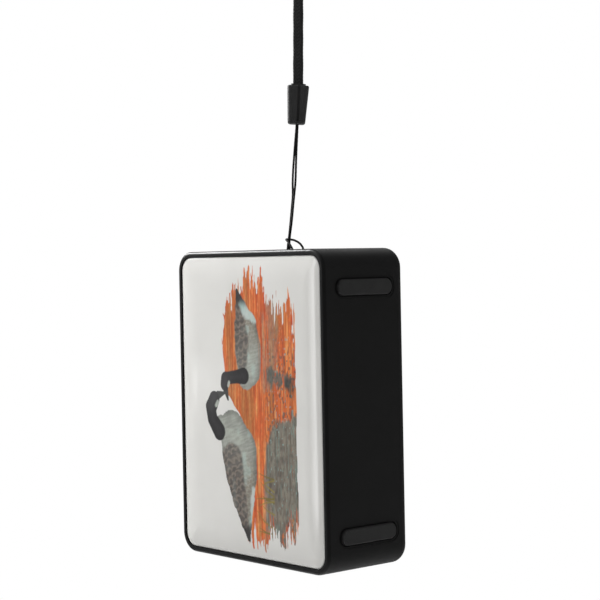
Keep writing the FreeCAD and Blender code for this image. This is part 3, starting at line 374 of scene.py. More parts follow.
def routeLine(name, points, step):
    # The route's points are the control points of one smooth spline
    curve = bpy.data.curves.new(name, "CURVE")
    curve.dimensions = "3D"
    curve.resolution_u = 24
    spline = curve.splines.new("NURBS")
    spline.points.add(len(points) - 1)
    for control, place in zip(spline.points, points):
        control.co = (*place, 1)
    spline.order_u = 3
    spline.use_endpoint_u = True
    bare = bpy.data.objects.new(name, curve)
    mesh = bpy.data.meshes.new_from_object(bare)
    line = np.array([v.co for v in mesh.vertices], float)
    bpy.data.meshes.remove(mesh)
    bpy.data.objects.remove(bare)
    bpy.data.curves.remove(curve)
    along = np.concatenate([[0], np.cumsum(np.linalg.norm(np.diff(line, axis=0), axis=1))])
    at = np.linspace(0, along[-1], int(along[-1] / step) + 1)
    line = np.stack([np.interp(at, along, line[:, k]) for k in range(3)], axis=1)
    tangents = np.gradient(line, axis=0)
    return line, at, tangents / np.linalg.norm(tangents, axis=1)[:, None]


def tubeFaces(rings, around):
    i, j = np.meshgrid(np.arange(rings - 1), np.arange(around), indexing="ij")
    k = (j + 1) % around
    sides = np.stack([i * around + j, i * around + k, (i + 1) * around + k, (i + 1) * around + j], axis=-1)
    faces = sides.reshape(-1, 4).tolist()
    faces.append(list(range(around - 1, -1, -1)))
    faces.append([(rings - 1) * around + j for j in range(around)])
    return faces


def setPlaces(made, name, values):
    attribute = made.data.attributes.new(name, "FLOAT_VECTOR", "POINT")
    attribute.data.foreach_set("vector", np.asarray(values, np.float32).ravel())


# Thin cord: three plies twisted together
thinCord = {
    "radius": 0.0004, "length": 0.130, "step": 0.00018, "around": 18,
    "plies": 3, "plyPitch": 0.0016, "plyDepth": 0.035,
    "route": [
        (0.15, 5.9, 47.3), (-0.75, 4.75, 33.3), (-1.1, 4.2, 24.5), (-1.25, 4.45, 20.0), (-1.4, 4.0, 16.0),
        (-1.55, 3.3, 10.0), (-1.6, 2.4, 4.0), (-2.6, 2.5, 0.6), (-2.2, 2.3, -3.65), (1.45, 2.1, -3.65),
        (2.3, 1.3, -0.8), (0.9, 1.0, 1.6), (-0.9, 1.2, 3.2), (-2.9, 1.9, 3.9), (-2.6, 3.6, 3.9),
        (-0.7, 4.4, 3.5), (1.2, 5.2, 2.4), (2.9, 5.6, 0.3), (2.6, 5.0, -3.65), (-1.45, 3.6, -3.65),
        (-2.5, 3.3, 0.4),
        (-2.1, 3.1, 4.0), (-0.75, 3.2, 10.0), (-0.6, 3.9, 16.0), (-0.4, 4.35, 20.0), (0.0, 4.75, 24.5),
        (0.05, 5.15, 33.3), (-0.1, 6.5, 47.3)],   # millimetres from the middle of the end
}


def makeThinCord():
    points = [endMiddle + Vector(p) * millimetre for p in thinCord["route"]]
    line, at, tangents = routeLine("lanyard_cord_line", points, thinCord["step"])
    normal = np.cross(tangents[0], (0, 1, 0))
    angles = np.linspace(0, 2 * math.pi, thinCord["around"], endpoint=False)
    vertices, places = [], []
    for place, tangent, distance in zip(line, tangents, at):
        normal = normal - tangent * normal.dot(tangent)
        normal /= np.linalg.norm(normal)
        side = np.cross(tangent, normal)
        twist = thinCord["plies"] * angles - 2 * math.pi * distance / thinCord["plyPitch"]
        reach = thinCord["radius"] * (1 - thinCord["plyDepth"] * (1 + np.cos(twist)))
        ring = np.outer(np.cos(angles) * reach, normal) + np.outer(np.sin(angles) * reach, side)
        vertices.extend(place + ring)
        places.extend([(distance, a * thinCord["radius"], 0) for a in angles])
    material = wovenCloth("cord_weave", linear(7, 7, 7), linear(14, 14, 14), 0.8, 12000.0, "cordPlace", 1.0,
                          0.00001)
    made = meshObject("lanyard_cord_ply", vertices, tubeFaces(len(line), thinCord["around"]), material)
    setPlaces(made, "cordPlace", places)
    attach(made, "root")
    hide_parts("lanyard_cord")


# Strap: flat twill with a plain band beside its selvage, with a painted highlight on the rib crests and
# painted shade in the grooves
strap = {
    "width": 0.0037, "thick": 0.0012, "length": 0.239, "turn": 49.0, "lean": 1.45,
    "foot": (0.0, 6.75, 55.6),
    "route": [
        (-0.70, 0.0), (-0.80, 14.0), (-1.25, 36.0), (-3.0, 68.0), (-5.0, 98.0), (-5.6, 116.0),
        (5.6, 116.0), (4.7, 96.0), (3.2, 67.0), (1.15, 38.0), (0.78, 15.0), (0.70, 0.0)],
    "step": 0.00017, "around": 64, "flatness": 0.62, "crownness": 0.72, "selvage": 0.00008,
    "ribPitch": 0.00125, "ribLean": 1.9, "ribDepth": 0.000256, "ribSharpness": 0.6, "ribEnd": 0.48,
    # The rib tone is the lighter grey painted on the rib crests as a highlight
    "ribFade": 0.04, "ribHighlightTone": (58, 58, 58), "plainTone": 0.35, "upperPlace": 0.01,
    "grooves": ((0.66, 0.11, 1.0), (-0.86, 0.07, 0.45)),   # place across, width and share of the depth
    "grooveDepth": 0.00022, "stitchPitch": 0.00145,
    "edgeWaves": ((0.000035, 700, 0.0), (0.00006, 93, 1.0)),   # height, turns and start
}


def makeStrap():
    turn, lean = math.radians(strap["turn"]), math.radians(strap["lean"])
    upward = Vector((0, math.sin(lean), math.cos(lean)))
    legs = Vector((-math.sin(turn), math.cos(turn), 0))
    legs = (legs - upward * legs.dot(upward)).normalized()
    across = legs.cross(upward).normalized()
    foot = endMiddle + Vector(strap["foot"]) * millimetre
    points = [foot + legs * (a * millimetre) + upward * (b * millimetre) for a, b in strap["route"]]
    line, at, tangents = routeLine("lanyard_strap_line", points, strap["step"])
    angles = np.linspace(0, 2 * math.pi, strap["around"], endpoint=False)
    flat = np.sign(np.cos(angles)) * np.abs(np.cos(angles)) ** strap["flatness"]
    crown = np.sign(np.sin(angles)) * np.abs(np.sin(angles)) ** strap["crownness"]
    widthAxis = np.array(across)
    grooves = sum(share * np.exp(-((flat - at) / wide) ** 2) for at, wide, share in strap["grooves"])
    ribbed = 1 / (1 + np.exp((flat - strap["ribEnd"]) / strap["ribFade"]))
    vertices, places, paintedRibLight = [], [], []
    for place, tangent, distance in zip(line, tangents, at):
        face = np.cross(tangent, widthAxis)
        face /= np.linalg.norm(face)
        slope = distance + strap["ribLean"] * flat * strap["width"] / 2
        rib = 0.5 + 0.5 * np.sin(2 * math.pi * slope / strap["ribPitch"])
        stitch = 0.5 + 0.5 * math.sin(2 * math.pi * distance / strap["stitchPitch"])
        sunk = strap["ribDepth"] * (1 - rib ** strap["ribSharpness"]) * ribbed
        sunk = sunk + strap["grooveDepth"] * grooves * (1 - 0.5 * stitch)
        half = strap["thick"] / 2 - sunk * np.minimum(1, np.abs(crown) * 1.4)
        wave = sum(high * math.sin(distance * turns + start) for high, turns, start in strap["edgeWaves"])
        reach = flat * (strap["width"] / 2 - strap["selvage"] * (1 - 0.5 * rib) + wave)
        vertices.extend(place + np.outer(reach, widthAxis) + np.outer(crown * half, face))
        upperFace = strap["upperPlace"] * (crown > 0)
        places.extend(np.stack([np.full(len(flat), distance), reach + upperFace, crown * 0], axis=1))
        # Painted light: the rib crests get the lighter grey as a painted highlight, the sunk grooves are
        # darkened as painted shade, and the plain band takes a fixed share of the lighter grey
        paintedRibLight.extend(np.clip(rib ** 1.5 * ribbed + strap["plainTone"] * (1 - ribbed) - grooves, 0, 1))
    material = wovenCloth("strap_weave", linear(9, 9, 9), linear(30, 30, 30), 0.62, 11000.0, "strapPlace",
                          0.6, 0.000018)
    made = meshObject("lanyard_strap_weave", vertices, tubeFaces(len(line), strap["around"]), material)
    setPlaces(made, "strapPlace", places)
    ribLightShares = made.data.attributes.new("ribHighlightShare", "FLOAT", "POINT")
    ribLightShares.data.foreach_set("value", np.asarray(paintedRibLight, np.float32))
    tree = material.node_tree
    shader = tree.nodes["Principled BSDF"]
    # The painted highlight's lighter grey is mixed over the weave colour by this share
    onRibLight = addNode(tree, "ShaderNodeAttribute", attribute_name="ribHighlightShare").outputs["Fac"]
    dull = shader.inputs["Base Color"].links[0].from_socket
    tree.links.new(mixColour(tree, onRibLight, dull, linear(*strap["ribHighlightTone"])), shader.inputs["Base Color"])
    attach(made, "root")
    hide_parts("lanyard_strap")


makeThinCord()
makeStrap()
print("lanyard made")

# Printed panel: a clear-coated plate that is crowned towards its edges
panel = {
    "corner": 0.00495, "edgeRound": 0.0008, "crownWide": 0.0092, "crownDrop": 0.00062, "crownPower": 2.0,
    "step": 0.00028, "cornerPoints": 14, "rings": (4.2, 3.5, 2.8, 2.2, 1.7, 1.3, 1.0, 0.8),
    "roundAngles": (15, 30, 45, 60, 75, 90),
}


def crownAt(edge):
    toEdge = np.clip(1 - edge / panel["crownWide"], 0, 1)
    return panel["crownDrop"] * toEdge ** panel["crownPower"]


def latticeNoise(across, along, cellAcross, cellAlong, seed):
    # Smooth random values on a lattice of cells
    u, v = across / cellAcross, along / cellAlong
    lowU, lowV = np.floor(u).astype(int), np.floor(v).astype(int)
    random = np.random.default_rng(seed)
    columns, rows = lowU.max() - lowU.min() + 2, lowV.max() - lowV.min() + 2
    values = random.random((columns, rows))
    i, j = lowU - lowU.min(), lowV - lowV.min()
    s, t = u - lowU, v - lowV
    s, t = s * s * (3 - 2 * s), t * t * (3 - 2 * t)
    lower = values[i, j] * (1 - s) + values[i + 1, j] * s
    upper = values[i, j + 1] * (1 - s) + values[i + 1, j + 1] * s
    return lower * (1 - t) + upper * t


def ramp(value, low, high):
    t = np.clip((value - low) / (high - low), 0, 1)
    return t * t * (3 - 2 * t)


def limbDistance(right, up, spine):
    # Distance outside a chain of tapered round limbs, each end (right, up, radius) in millimetres
    nearest = np.full(right.shape, 1e9)
    for (x0, y0, r0), (x1, y1, r1) in zip(spine, spine[1:]):
        dx, dy = x1 - x0, y1 - y0
        t = np.clip(((right - x0) * dx + (up - y0) * dy) / (dx * dx + dy * dy), 0, 1)
        fromAxis = np.hypot(right - x0 - t * dx, up - y0 - t * dy)
        nearest = np.minimum(nearest, fromAxis - (r0 + t * (r1 - r0)))
    return nearest


def limbMask(right, up, spine, soft=0.4):
    return ramp(-limbDistance(right, up, spine), -soft / 2, soft / 2)


# The print: brush strokes with two plain water birds, drawn sideways. In the birds' lists, right is
# towards the lanyard end and up is towards the keys, in millimetres from the middle of the panel
strokes = {
    "acrossTop": [-15, -13, -10, -6, -3, 6, 9, 12, 16, 20, 23, 27],
    "topEnd": [33, 36, 41, 43, 48, 49.5, 48, 43, 41, 43, 47.5, 46],
    "acrossBottom": [-2, 6, 11, 14, 18, 27], "bottomEnd": [-48, -50, -49, -45.5, -49, -48.5],
    "alongLeft": [-50, -38, -27, -17, -8, -3, 1, 5, 22, 34, 50],
    "leftEdge": [-3.5, -3.0, -1.0, 0.0, -3.0, -5.5, -9.0, -13.5, -15.4, -14.5, -12.0],
    "rightEdge": 25.6, "waterLine": -7.2, "mirrorLine": -4.8,
    "acrossReeds": [7, 9, 12, 15, 20, 26], "reedTop": [-30, -14, -7.5, -4.5, -2.5, -2.0],
}
inkColours = {
    "orange": (230, 124, 54), "amber": (238, 170, 100), "rust": (196, 74, 32), "ochre": (160, 102, 48),
    "teal": (96, 138, 134), "reed": (122, 124, 112), "reedDark": (84, 92, 86), "shade": (50, 52, 50),
    "paleTeal": (178, 206, 200), "feather": (138, 124, 110), "featherDark": (78, 72, 70),
    "breast": (188, 194, 184), "fawn": (164, 156, 140), "cap": (30, 28, 30), "olive": (134, 120, 58),
    "white": (220, 219, 215),
}
standingBird = {
    "body": [(-47, 1.0, 0.6), (-41, 2.4, 3.0), (-32, 4.0, 6.3), (-24, 4.8, 8.7), (-16, 5.9, 9.7),
             (-9, 9.6, 7.4), (-8, 15.5, 4.4)],
    "wing": [(-45, 1.6, 1.0), (-37, 5.0, 3.4), (-28, 8.0, 5.2), (-19, 9.8, 5.6)],
    "rump": [(-40, -0.6, 0.8), (-33, -1.8, 1.6), (-29, -2.0, 1.0)],
    "neck": [(-9.6, 17.0, 3.4), (-5.4, 20.8, 2.9), (-1.0, 21.8, 2.9)],
    "head": [(-1.2, 21.4, 3.1), (1.8, 19.6, 3.0)],
    "bill": [(3.4, 17.2, 1.6), (4.3, 13.8, 0.6)],
    "patch": [(-0.4, 18.6, 0.7), (0.8, 17.6, 0.8)],
    "facing": 1, "slant": 0.3, "seed": 31,
}
swimmingBird = {
    "body": [(41, 5.6, 0.6), (35, 3.4, 3.0), (28, 1.0, 6.2), (20, -0.2, 7.2), (13.5, -0.6, 6.4),
             (10.5, 1.0, 4.6)],
    "wing": [(39, 6.0, 1.0), (31, 4.6, 3.0), (23, 3.4, 4.0), (16, 3.4, 3.0)],
    "rump": [(36.5, 3.0, 1.4), (33.5, 0.2, 2.3), (31.5, -4.4, 2.0)],
    "neck": [(10.8, 2.6, 3.0), (10.3, 7.0, 2.4), (9.8, 11.0, 2.3)],
    "head": [(9.3, 12.8, 2.7), (7.4, 13.4, 2.4)],
    "bill": [(5.4, 12.8, 1.4), (2.0, 11.6, 0.5)],
    "patch": [(8.2, 10.9, 0.6), (7.0, 11.3, 0.6)],
    "facing": -1, "slant": -0.25, "seed": 53,
}


def ink(name):
    return np.array(linear(*inkColours[name])[:3])


def blendInk(share, first, second):
    share = np.clip(share, 0, 1)[:, None]
    return first * (1 - share) + second * share


def layOver(paint, mask, tint):
    colour, cover = paint
    return blendInk(mask, colour, tint), np.maximum(cover, mask)


def featherEdges(right, up, pitch, slant, seed):
    # Rows of scallops, each row shifted by half of one
    bend = latticeNoise(right, up, 4.0, 4.0, seed)
    along = (right * math.cos(slant) + up * math.sin(slant)) / pitch + 0.9 * bend
    aside = (up * math.cos(slant) - right * math.sin(slant)) / pitch * 0.9 + 0.8 * bend
    row = np.floor(along)
    aside = aside + 0.5 * (row % 2)
    reach = np.hypot(along - row, (aside - np.floor(aside) - 0.5) * 1.3)
    return np.exp(-((reach - 0.62) / 0.16) ** 2)


def paintBird(paint, right, up, bird, shown):
    seed, facing = bird["seed"], bird["facing"]
    turn = bird["slant"] * facing
    lengthways = right * math.cos(turn) + up * math.sin(turn)
    sideways = up * math.cos(turn) - right * math.sin(turn)
    dab = latticeNoise(lengthways, sideways, 1.5, 0.42, seed + 1)
    wash = latticeNoise(right, up, 4.5, 3.0, seed + 2)
    barb = latticeNoise(lengthways, sideways, 0.45, 2.4, seed + 5)
    ragged = 0.4 * (dab - 0.5)
    inside = -limbDistance(right, up, bird["body"]) + ragged
    body = ramp(inside, -0.2, 0.2) * shown
    spine = sorted(bird["body"])
    ridge, reach = (np.interp(right, [p[0] for p in spine], [p[k] for p in spine]) for k in (1, 2))
    height = (up - ridge) / np.maximum(reach, 1)
    front = max(right * facing for right, _, _ in spine)
    toFront = ramp(right * facing, front - 20, front - 4)
    base = blendInk(ramp(height + 0.5 * (wash - 0.5), -0.8, 0.8), ink("fawn") * 0.86, ink("feather") * 0.82)
    base = blendInk(toFront * 0.85, base, ink("breast") * 0.95)
    edges = featherEdges(right * facing, up, 1.7, bird["slant"], seed + 3)
    base = blendInk(edges * (0.42 - 0.26 * toFront), base, ink("breast"))
    base = blendInk((1 - barb) * 0.34, base, ink("featherDark"))
    base = blendInk(ramp(wash, 0.62, 0.95) * 0.4, base, ink("paleTeal"))
    rounded = 0.70 + 0.30 * ramp(inside, -0.2, 2.6) - 0.14 * ramp(-height, 0.2, 0.9)
    base = base * ((0.86 + 0.26 * wash) * rounded)[:, None]
    paint = layOver(paint, body, base)
    wing = ramp(-limbDistance(right, up, bird["wing"]) + ragged, -0.7, 0.7) * body
    rows = featherEdges(right * facing, up, 2.6, bird["slant"] * 1.6, seed + 4)
    wingTone = blendInk(rows * 0.55, ink("featherDark") * (0.75 + 0.5 * barb[:, None]), ink("feather") * 1.3)
    paint = layOver(paint, wing * 0.8, wingTone)
    rump = ramp(-limbDistance(right, up, bird["rump"]) + 2 * ragged, -0.6, 0.6) * body
    paint = layOver(paint, rump * 0.9, blendInk(wash * 1.2, ink("white") * 0.9, ink("paleTeal")))
    back = -min(right * facing for right, _, _ in spine)
    paint = layOver(paint, ramp(-right * facing, back - 7, back - 3) * body * 0.9, ink("cap") * 1.3)
    for part, tint, strength in (("neck", "cap", 1.0), ("bill", "shade", 1.0), ("head", "cap", 1.0),
                                 ("patch", "breast", 0.75)):
        depth = -limbDistance(right, up, bird[part]) + 0.2 * ragged
        sheen = 0.85 + 0.4 * dab + 0.5 * ramp(depth, 1.2, 2.6) * (tint == "cap")
        paint = layOver(paint, ramp(depth, -0.2, 0.2) * shown * strength, ink(tint) * sheen[:, None])
    return paint


def paintPanel(x, z):
    right, up = z, -x
    plain = np.zeros(len(x))
    paint = np.tile(ink("white"), (len(x), 1)), np.zeros(len(x))
    broad, bristle = latticeNoise(x, z, 2.6, 40.0, 1), latticeNoise(x, z, 0.62, 26.0, 2)
    fine, fleck = latticeNoise(x, z, 0.36, 7.0, 3), latticeNoise(x, z, 0.5, 1.0, 4)
    drift, wash = latticeNoise(x, z, 0.8, 3.2, 5), latticeNoise(x, z, 5.0, 9.0, 6)

    # Dry brush strokes along the panel, which break up at their ends
    wideTeeth, narrowTeeth = latticeNoise(x, plain, 1.1, 1.0, 7), latticeNoise(x, plain, 0.42, 1.0, 8)
    jagged = 3.6 * (wideTeeth - 0.7) + 4.6 * (narrowTeeth - 0.6)
    topEnd = np.interp(x, strokes["acrossTop"], strokes["topEnd"]) + jagged
    bottomEnd = np.interp(x, strokes["acrossBottom"], strokes["bottomEnd"]) - jagged
    leftEdge = np.interp(z, strokes["alongLeft"], strokes["leftEdge"])
    leftEdge = leftEdge + 1.6 * latticeNoise(plain, z, 1.0, 3.0, 9) - 0.8
    toEnd = np.minimum(topEnd - z, z - bottomEnd)
    toSide = np.minimum(x - leftEdge, strokes["rightEdge"] + 0.8 * drift - x)
    dryness = ramp(toEnd, 17, 0) * 0.74 + ramp(toSide, 2.4, 0) * 0.4 + 0.30 * ramp(x, 7, 18) * ramp(z, 2, 26)
    speckled = latticeNoise(x, z, 0.4, 1.5, 15)
    load = 0.5 * bristle + 0.3 * fine + 0.2 * speckled
    field = ramp(load - dryness * 0.8 + 0.20, 0.0, 0.14) * ramp(toEnd, 0, 0.8) * ramp(toSide, 0, 0.5)
    tone = blendInk(0.15 + 0.9 * (bristle - 0.2), ink("rust"), ink("orange"))
    tone = blendInk(ramp(fine, 0.45, 0.95) * 0.75, tone, ink("amber"))
    tone = blendInk(ramp(broad, 0.5, 0.85) * 0.6, tone, ink("ochre"))
    tone = blendInk(ramp(fine, 0.45, 0.1) * 0.45, tone, ink("rust") * 0.7)
    tone = blendInk(ramp(toEnd, 5, 0) * 0.6 + ramp(toSide, 1.2, 0) * 0.5, tone, ink("rust") * 1.1)
    paint = layOver(paint, field, tone * (0.86 + 0.28 * fleck[:, None]))

    # Reeds in the water: a soft grey-green dome below, thinning towards its ends
    reedTop = np.interp(x, strokes["acrossReeds"], strokes["reedTop"])
    reeds = ramp(reedTop - z + 3.0 * (drift - 0.5), -0.8, 1.6) * ramp(x + 2 * drift, 7.8, 10.5)
    thinning = ramp(-z, 26, 50) * 0.55 + ramp(x, 21, 27) * 0.2
    reeds = reeds * ramp(load - thinning + 0.12, 0.1, 0.3)
    soft = latticeNoise(x, z, 0.7, 2.2, 10)
    reed = blendInk(1.1 * soft - 0.2 + 0.5 * (wash - 0.3), ink("reedDark") * 0.85, ink("reed") * 1.15)
    reed = blendInk(ramp(fine, 0.5, 0.95) * 0.5, reed, ink("teal") * 1.1)
    reed = blendInk(ramp(broad, 0.55, 0.85) * 0.35, reed, ink("fawn") * 0.9)
    reed = blendInk(ramp(fleck, 0.78, 0.95) * 0.35, reed, ink("shade"))
    paint = layOver(paint, reeds * ramp(field, 0.1, 0.6) * 0.92, reed)
    water = ramp(x, 7, 13) * ramp(field, 0.2, 0.7)
    darkFleck = ramp(latticeNoise(x, z, 0.5, 1.2, 12) - 0.22 * ramp(z, 16, 38), 0.64, 0.74)
    darkFleck = darkFleck * ramp(38 - z, 0, 26) * water * (0.75 - 0.45 * reeds)
    paint = layOver(paint, darkFleck, blendInk(fleck, ink("shade"), ink("reedDark")))
    tealFleck = ramp(latticeNoise(x, z, 0.6, 1.0, 13), 0.84, 0.92) * ramp(38 - z, 0, 26)
    paint = layOver(paint, tealFleck * water * 0.7, blendInk(bristle, ink("teal"), ink("paleTeal") * 0.9))

    # What stands over the water is mirrored in it, drawn out along the bristles
    wobble = right + 3.0 * (latticeNoise(x, z, 0.6, 3.0, 14) - 0.5)
    mirrored = 2 * strokes["mirrorLine"] - up
    wet = ramp(strokes["waterLine"] - up, -0.6, 0.6) * ramp(field, 0.2, 0.7) * ramp(load, 0.3, 0.5)
    for part, tint, strength in (("body", "reed", 0.45), ("neck", "reedDark", 0.9), ("head", "shade", 0.8)):
        mask = limbMask(wobble, mirrored, swimmingBird[part], 2.2)
        paint = layOver(paint, mask * wet * strength, ink(tint) * (0.7 + 0.6 * fleck[:, None]))

    dry = ramp(up - strokes["waterLine"] + 2.4 * (bristle - 0.5), -0.8, 0.8)
    paint = paintBird(paint, right, up, swimmingBird, dry)
    paint = paintBird(paint, right, up, standingBird, np.ones(len(x)))

    # Grass at the standing bird's feet
    random = np.random.default_rng(21)
    for start in random.uniform(-46, -24, 12):
        lean, tall = random.uniform(-0.6, 0.7), random.uniform(5, 11)
        blade = [(start, -13.0, 0.34), (start + lean * tall * 0.4, -13.0 + tall * 0.6, 0.26),
                 (start + lean * tall, -13.0 + tall, 0.1)]
        paint = layOver(paint, limbMask(right, up, blade, 0.3) * 0.85 * ramp(field, 0.2, 0.6),
                        ink("olive") * random.uniform(0.6, 1.3))
    return paint


def makePanelMaterial():
    made, tree, shader = startMaterial("printed_panel", Specular_IOR_Level=0.1, Coat_Weight=1.0,
                                       Coat_Roughness=0.045, Coat_IOR=1.52)
    printed = addNode(tree, "ShaderNodeAttribute", attribute_name="inkColour")
    streaks = placeGroup(made, streakGroup, Across_Scale=5200.0, Along_Scale=520.0)
    texture = placeGroup(made, mouldGroup, Grain_Scale=9000.0, Smudge_Scale=34.0)
    stock = mixColour(tree, texture.outputs["Smudge"], linear(220, 219, 215), linear(226, 225, 221))
    depth = spread(tree, streaks.outputs["Fine"], 0.25, 0.75, 0.80, 1.14)
    toned = addNode(tree, "ShaderNodeVectorMath", {0: printed.outputs["Color"]}, operation="SCALE")
    tree.links.new(depth, toned.inputs["Scale"])
    ragged = calc(tree, "MULTIPLY", calc(tree, "SUBTRACT", streaks.outputs["Fine"], 0.5), 0.7)
    shown = spread(tree, calc(tree, "ADD", printed.outputs["Alpha"], ragged), 0.38, 0.62)
    base = mixColour(tree, shown, stock, toned.outputs[0])
    tree.links.new(base, shader.inputs["Base Color"])
    tree.links.new(spread(tree, shown, 0.0, 1.0, 0.34, 0.42), shader.inputs["Roughness"])
    addBump(tree, shader, texture.outputs["Smudge"], 0.000004)
    return made


def mapForBaking(made, frontY, middle, halfX, halfZ):
    # The front in one flat piece, the back and the four rim sides in their own room beside it
    bake = made.data.uv_layers.new(name="OFBake")
    rim = 4.0   # share of the map for each metre of the rim's depth
    for face in made.data.polygons:
        for number in face.loop_indices:
            spot = made.data.vertices[made.data.loops[number].vertex_index].co
            right, up, deep = spot.x - middle.x, spot.z - middle.z, rim * (spot.y - frontY)
            across, along = (right + halfX) / (2 * halfZ), (up + halfZ) / (2 * halfZ)
            if face.normal.y < -0.5:
                place = (0.005 + 0.99 * across, 0.005 + 0.99 * along)
            elif face.normal.y > 0.5:
                place = (0.77 + 0.10 * across, 0.01 + 0.10 * along)
            elif abs(face.normal.x) > abs(face.normal.z):
                place = (0.86 + 0.02 * (right > 0) + deep, 0.005 + 0.99 * along)
            else:
                place = (0.92 + 0.02 * (up > 0) + deep, 0.005 + 0.99 * across)
            bake.data[number].uv = place


def makePanel():
    middle = (panelLow + panelHigh) / 2
    halfX, halfZ = (panelHigh.x - panelLow.x) / 2, (panelHigh.z - panelLow.z) / 2
    corner = panel["corner"]
    flatX, flatZ = halfX - corner, halfZ - corner
    columns, rows = round(2 * flatX / panel["step"]), round(2 * flatZ / panel["step"])
    xs, zs = np.linspace(-flatX, flatX, columns + 1), np.linspace(-flatZ, flatZ, rows + 1)
    gridX, gridZ = np.meshgrid(xs, zs, indexing="ij")
    edge = np.minimum(halfX - np.abs(gridX), halfZ - np.abs(gridZ))
    points = [np.stack([gridX.ravel(), crownAt(edge).ravel(), gridZ.ravel()], axis=1)]
    index = np.arange(gridX.size).reshape(gridX.shape)
    faces = np.stack([index[:-1, :-1], index[:-1, 1:], index[1:, 1:], index[1:, :-1]], axis=-1)
    faces = faces.reshape(-1, 4).tolist()

    # One loop round the flat part: each entry is a grid point and the direction outwards from it
    loop = []
    turns = np.linspace(0, 90, panel["cornerPoints"] + 1)
    sides = ((index[-1, :], 0), (index[::-1, -1], 90), (index[0, ::-1], 180), (index[:, 0], 270))
    for line, facing in sides:
        loop += [(int(i), facing) for i in line[1:-1]]
        loop += [(int(line[-1]), facing + turn) for turn in turns]
    base = points[0][[i for i, _ in loop]]
    facing = np.radians([turn for _, turn in loop])
    outward = np.stack([np.cos(facing), np.zeros(len(facing)), np.sin(facing)], axis=1)
    levels = [(inset * millimetre, crownAt(inset * millimetre)) for inset in panel["rings"]]
    lowest, bend = levels[-1][1], panel["edgeRound"]
    for angle in panel["roundAngles"]:
        turn = math.radians(angle)
        levels.append((bend * (1 - math.sin(turn)), lowest + (bend - 0.0002) * (1 - math.cos(turn))))
    levels.append((0.0, panelHigh.y - panelLow.y))
    previous = [i for i, _ in loop]
    total = len(points[0])
    for inset, down in levels:
        ring = base + outward * (corner - inset)
        ring[:, 1] = down
        points.append(ring)
        current = list(range(total, total + len(loop)))
        total += len(loop)
        for k in range(len(loop)):
            n = (k + 1) % len(loop)
            quad = [previous[k], previous[n], current[n], current[k]]
            faces.append(quad if quad[0] != quad[1] else quad[1:])
        previous = current
    faces.append(previous[::-1])
    vertices = np.concatenate(points)
    colour, cover = paintPanel(vertices[:, 0] / millimetre, vertices[:, 2] / millimetre)
    vertices = vertices + np.array((middle.x, panelLow.y, middle.z))
    made = meshObject("front_panel_print", vertices, faces, makePanelMaterial())
    made.data.update()
    work = bmesh.new()
    work.from_mesh(made.data)
    bmesh.ops.recalc_face_normals(work, faces=work.faces)
    work.to_mesh(made.data)
    work.free()
    mapForBaking(made, panelLow.y, middle, halfX, halfZ)
    attribute = made.data.color_attributes.new("inkColour", "FLOAT_COLOR", "POINT")
    attribute.data.foreach_set("color", np.column_stack([colour, cover]).astype(np.float32).ravel())
    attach(made, "root")
    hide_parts("front_panel")


makePanel()
print("panel printed")

# Raised symbols on the keys, read with the feet down: right is +Z, up is +Y
symbols = {"high": 0.00005, "bar": 0.00042, "reach": 0.00135, "steps": 40}


def strokeLoop(points, half):
    # Outline of a stroke of constant width along open points, with round ends
    points = np.array(points, float)
    ahead = np.gradient(points, axis=0)
    ahead /= np.linalg.norm(ahead, axis=1)[:, None]
    side = np.stack([-ahead[:, 1], ahead[:, 0]], axis=1)
    turns = np.linspace(90, -90, 9)[1:-1]
    caps = []
    for at, direction in ((-1, ahead[-1]), (0, -ahead[0])):
        start = math.degrees(math.atan2(direction[1], direction[0]))
        caps.append([points[at] + half * np.array((math.cos(math.radians(start + t)),
                                                   math.sin(math.radians(start + t)))) for t in turns])
    return list(points + side * half) + caps[0] + list((points - side * half)[::-1]) + caps[1]


def arcPoints(radius, start, end, steps):
    angles = np.radians(np.linspace(start, end, steps))
    return np.stack([radius * np.cos(angles), radius * np.sin(angles)], axis=1)


def symbolLoops(name):
    r, half, steps = symbols["reach"], symbols["bar"] / 2, symbols["steps"]

    def bar(x0, y0, x1, y1):
        return strokeLoop([(x0, y0), ((x0 + x1) / 2, (y0 + y1) / 2), (x1, y1)], half)

    if name == "power":
        return [strokeLoop(arcPoints(r * 0.9, 125, 415, steps), half), bar(0, r * 0.15, 0, r * 1.05)]
    if name == "volume_down":
        return [bar(-r * 0.8, 0, r * 0.8, 0)]
    if name == "volume_up":
        plus = [(-1, -1), (-1, -3.2), (1, -3.2), (1, -1), (3.2, -1), (3.2, 1), (1, 1), (1, 3.2), (-1, 3.2),
                (-1, 1), (-3.2, 1), (-3.2, -1)]
        return [[np.array((a * half, b * half)) * 1.05 for a, b in plus]]
    if name == "play":
        triangle = [np.array(p) * r for p in ((-1.05, -0.85), (0.25, 0.0), (-1.05, 0.85))]
        return [triangle] + [bar(r * k, -r * 0.75, r * k, r * 0.75) for k in (0.55, 1.0)]
    waves = [strokeLoop(arcPoints(r * k, -48, 48, steps // 2) - (r * 0.75, 0), half) for k in (0.85, 1.45)]
    return waves + [list(arcPoints(half * 1.5, 0, 330, 12) - (r * 0.75, 0))]


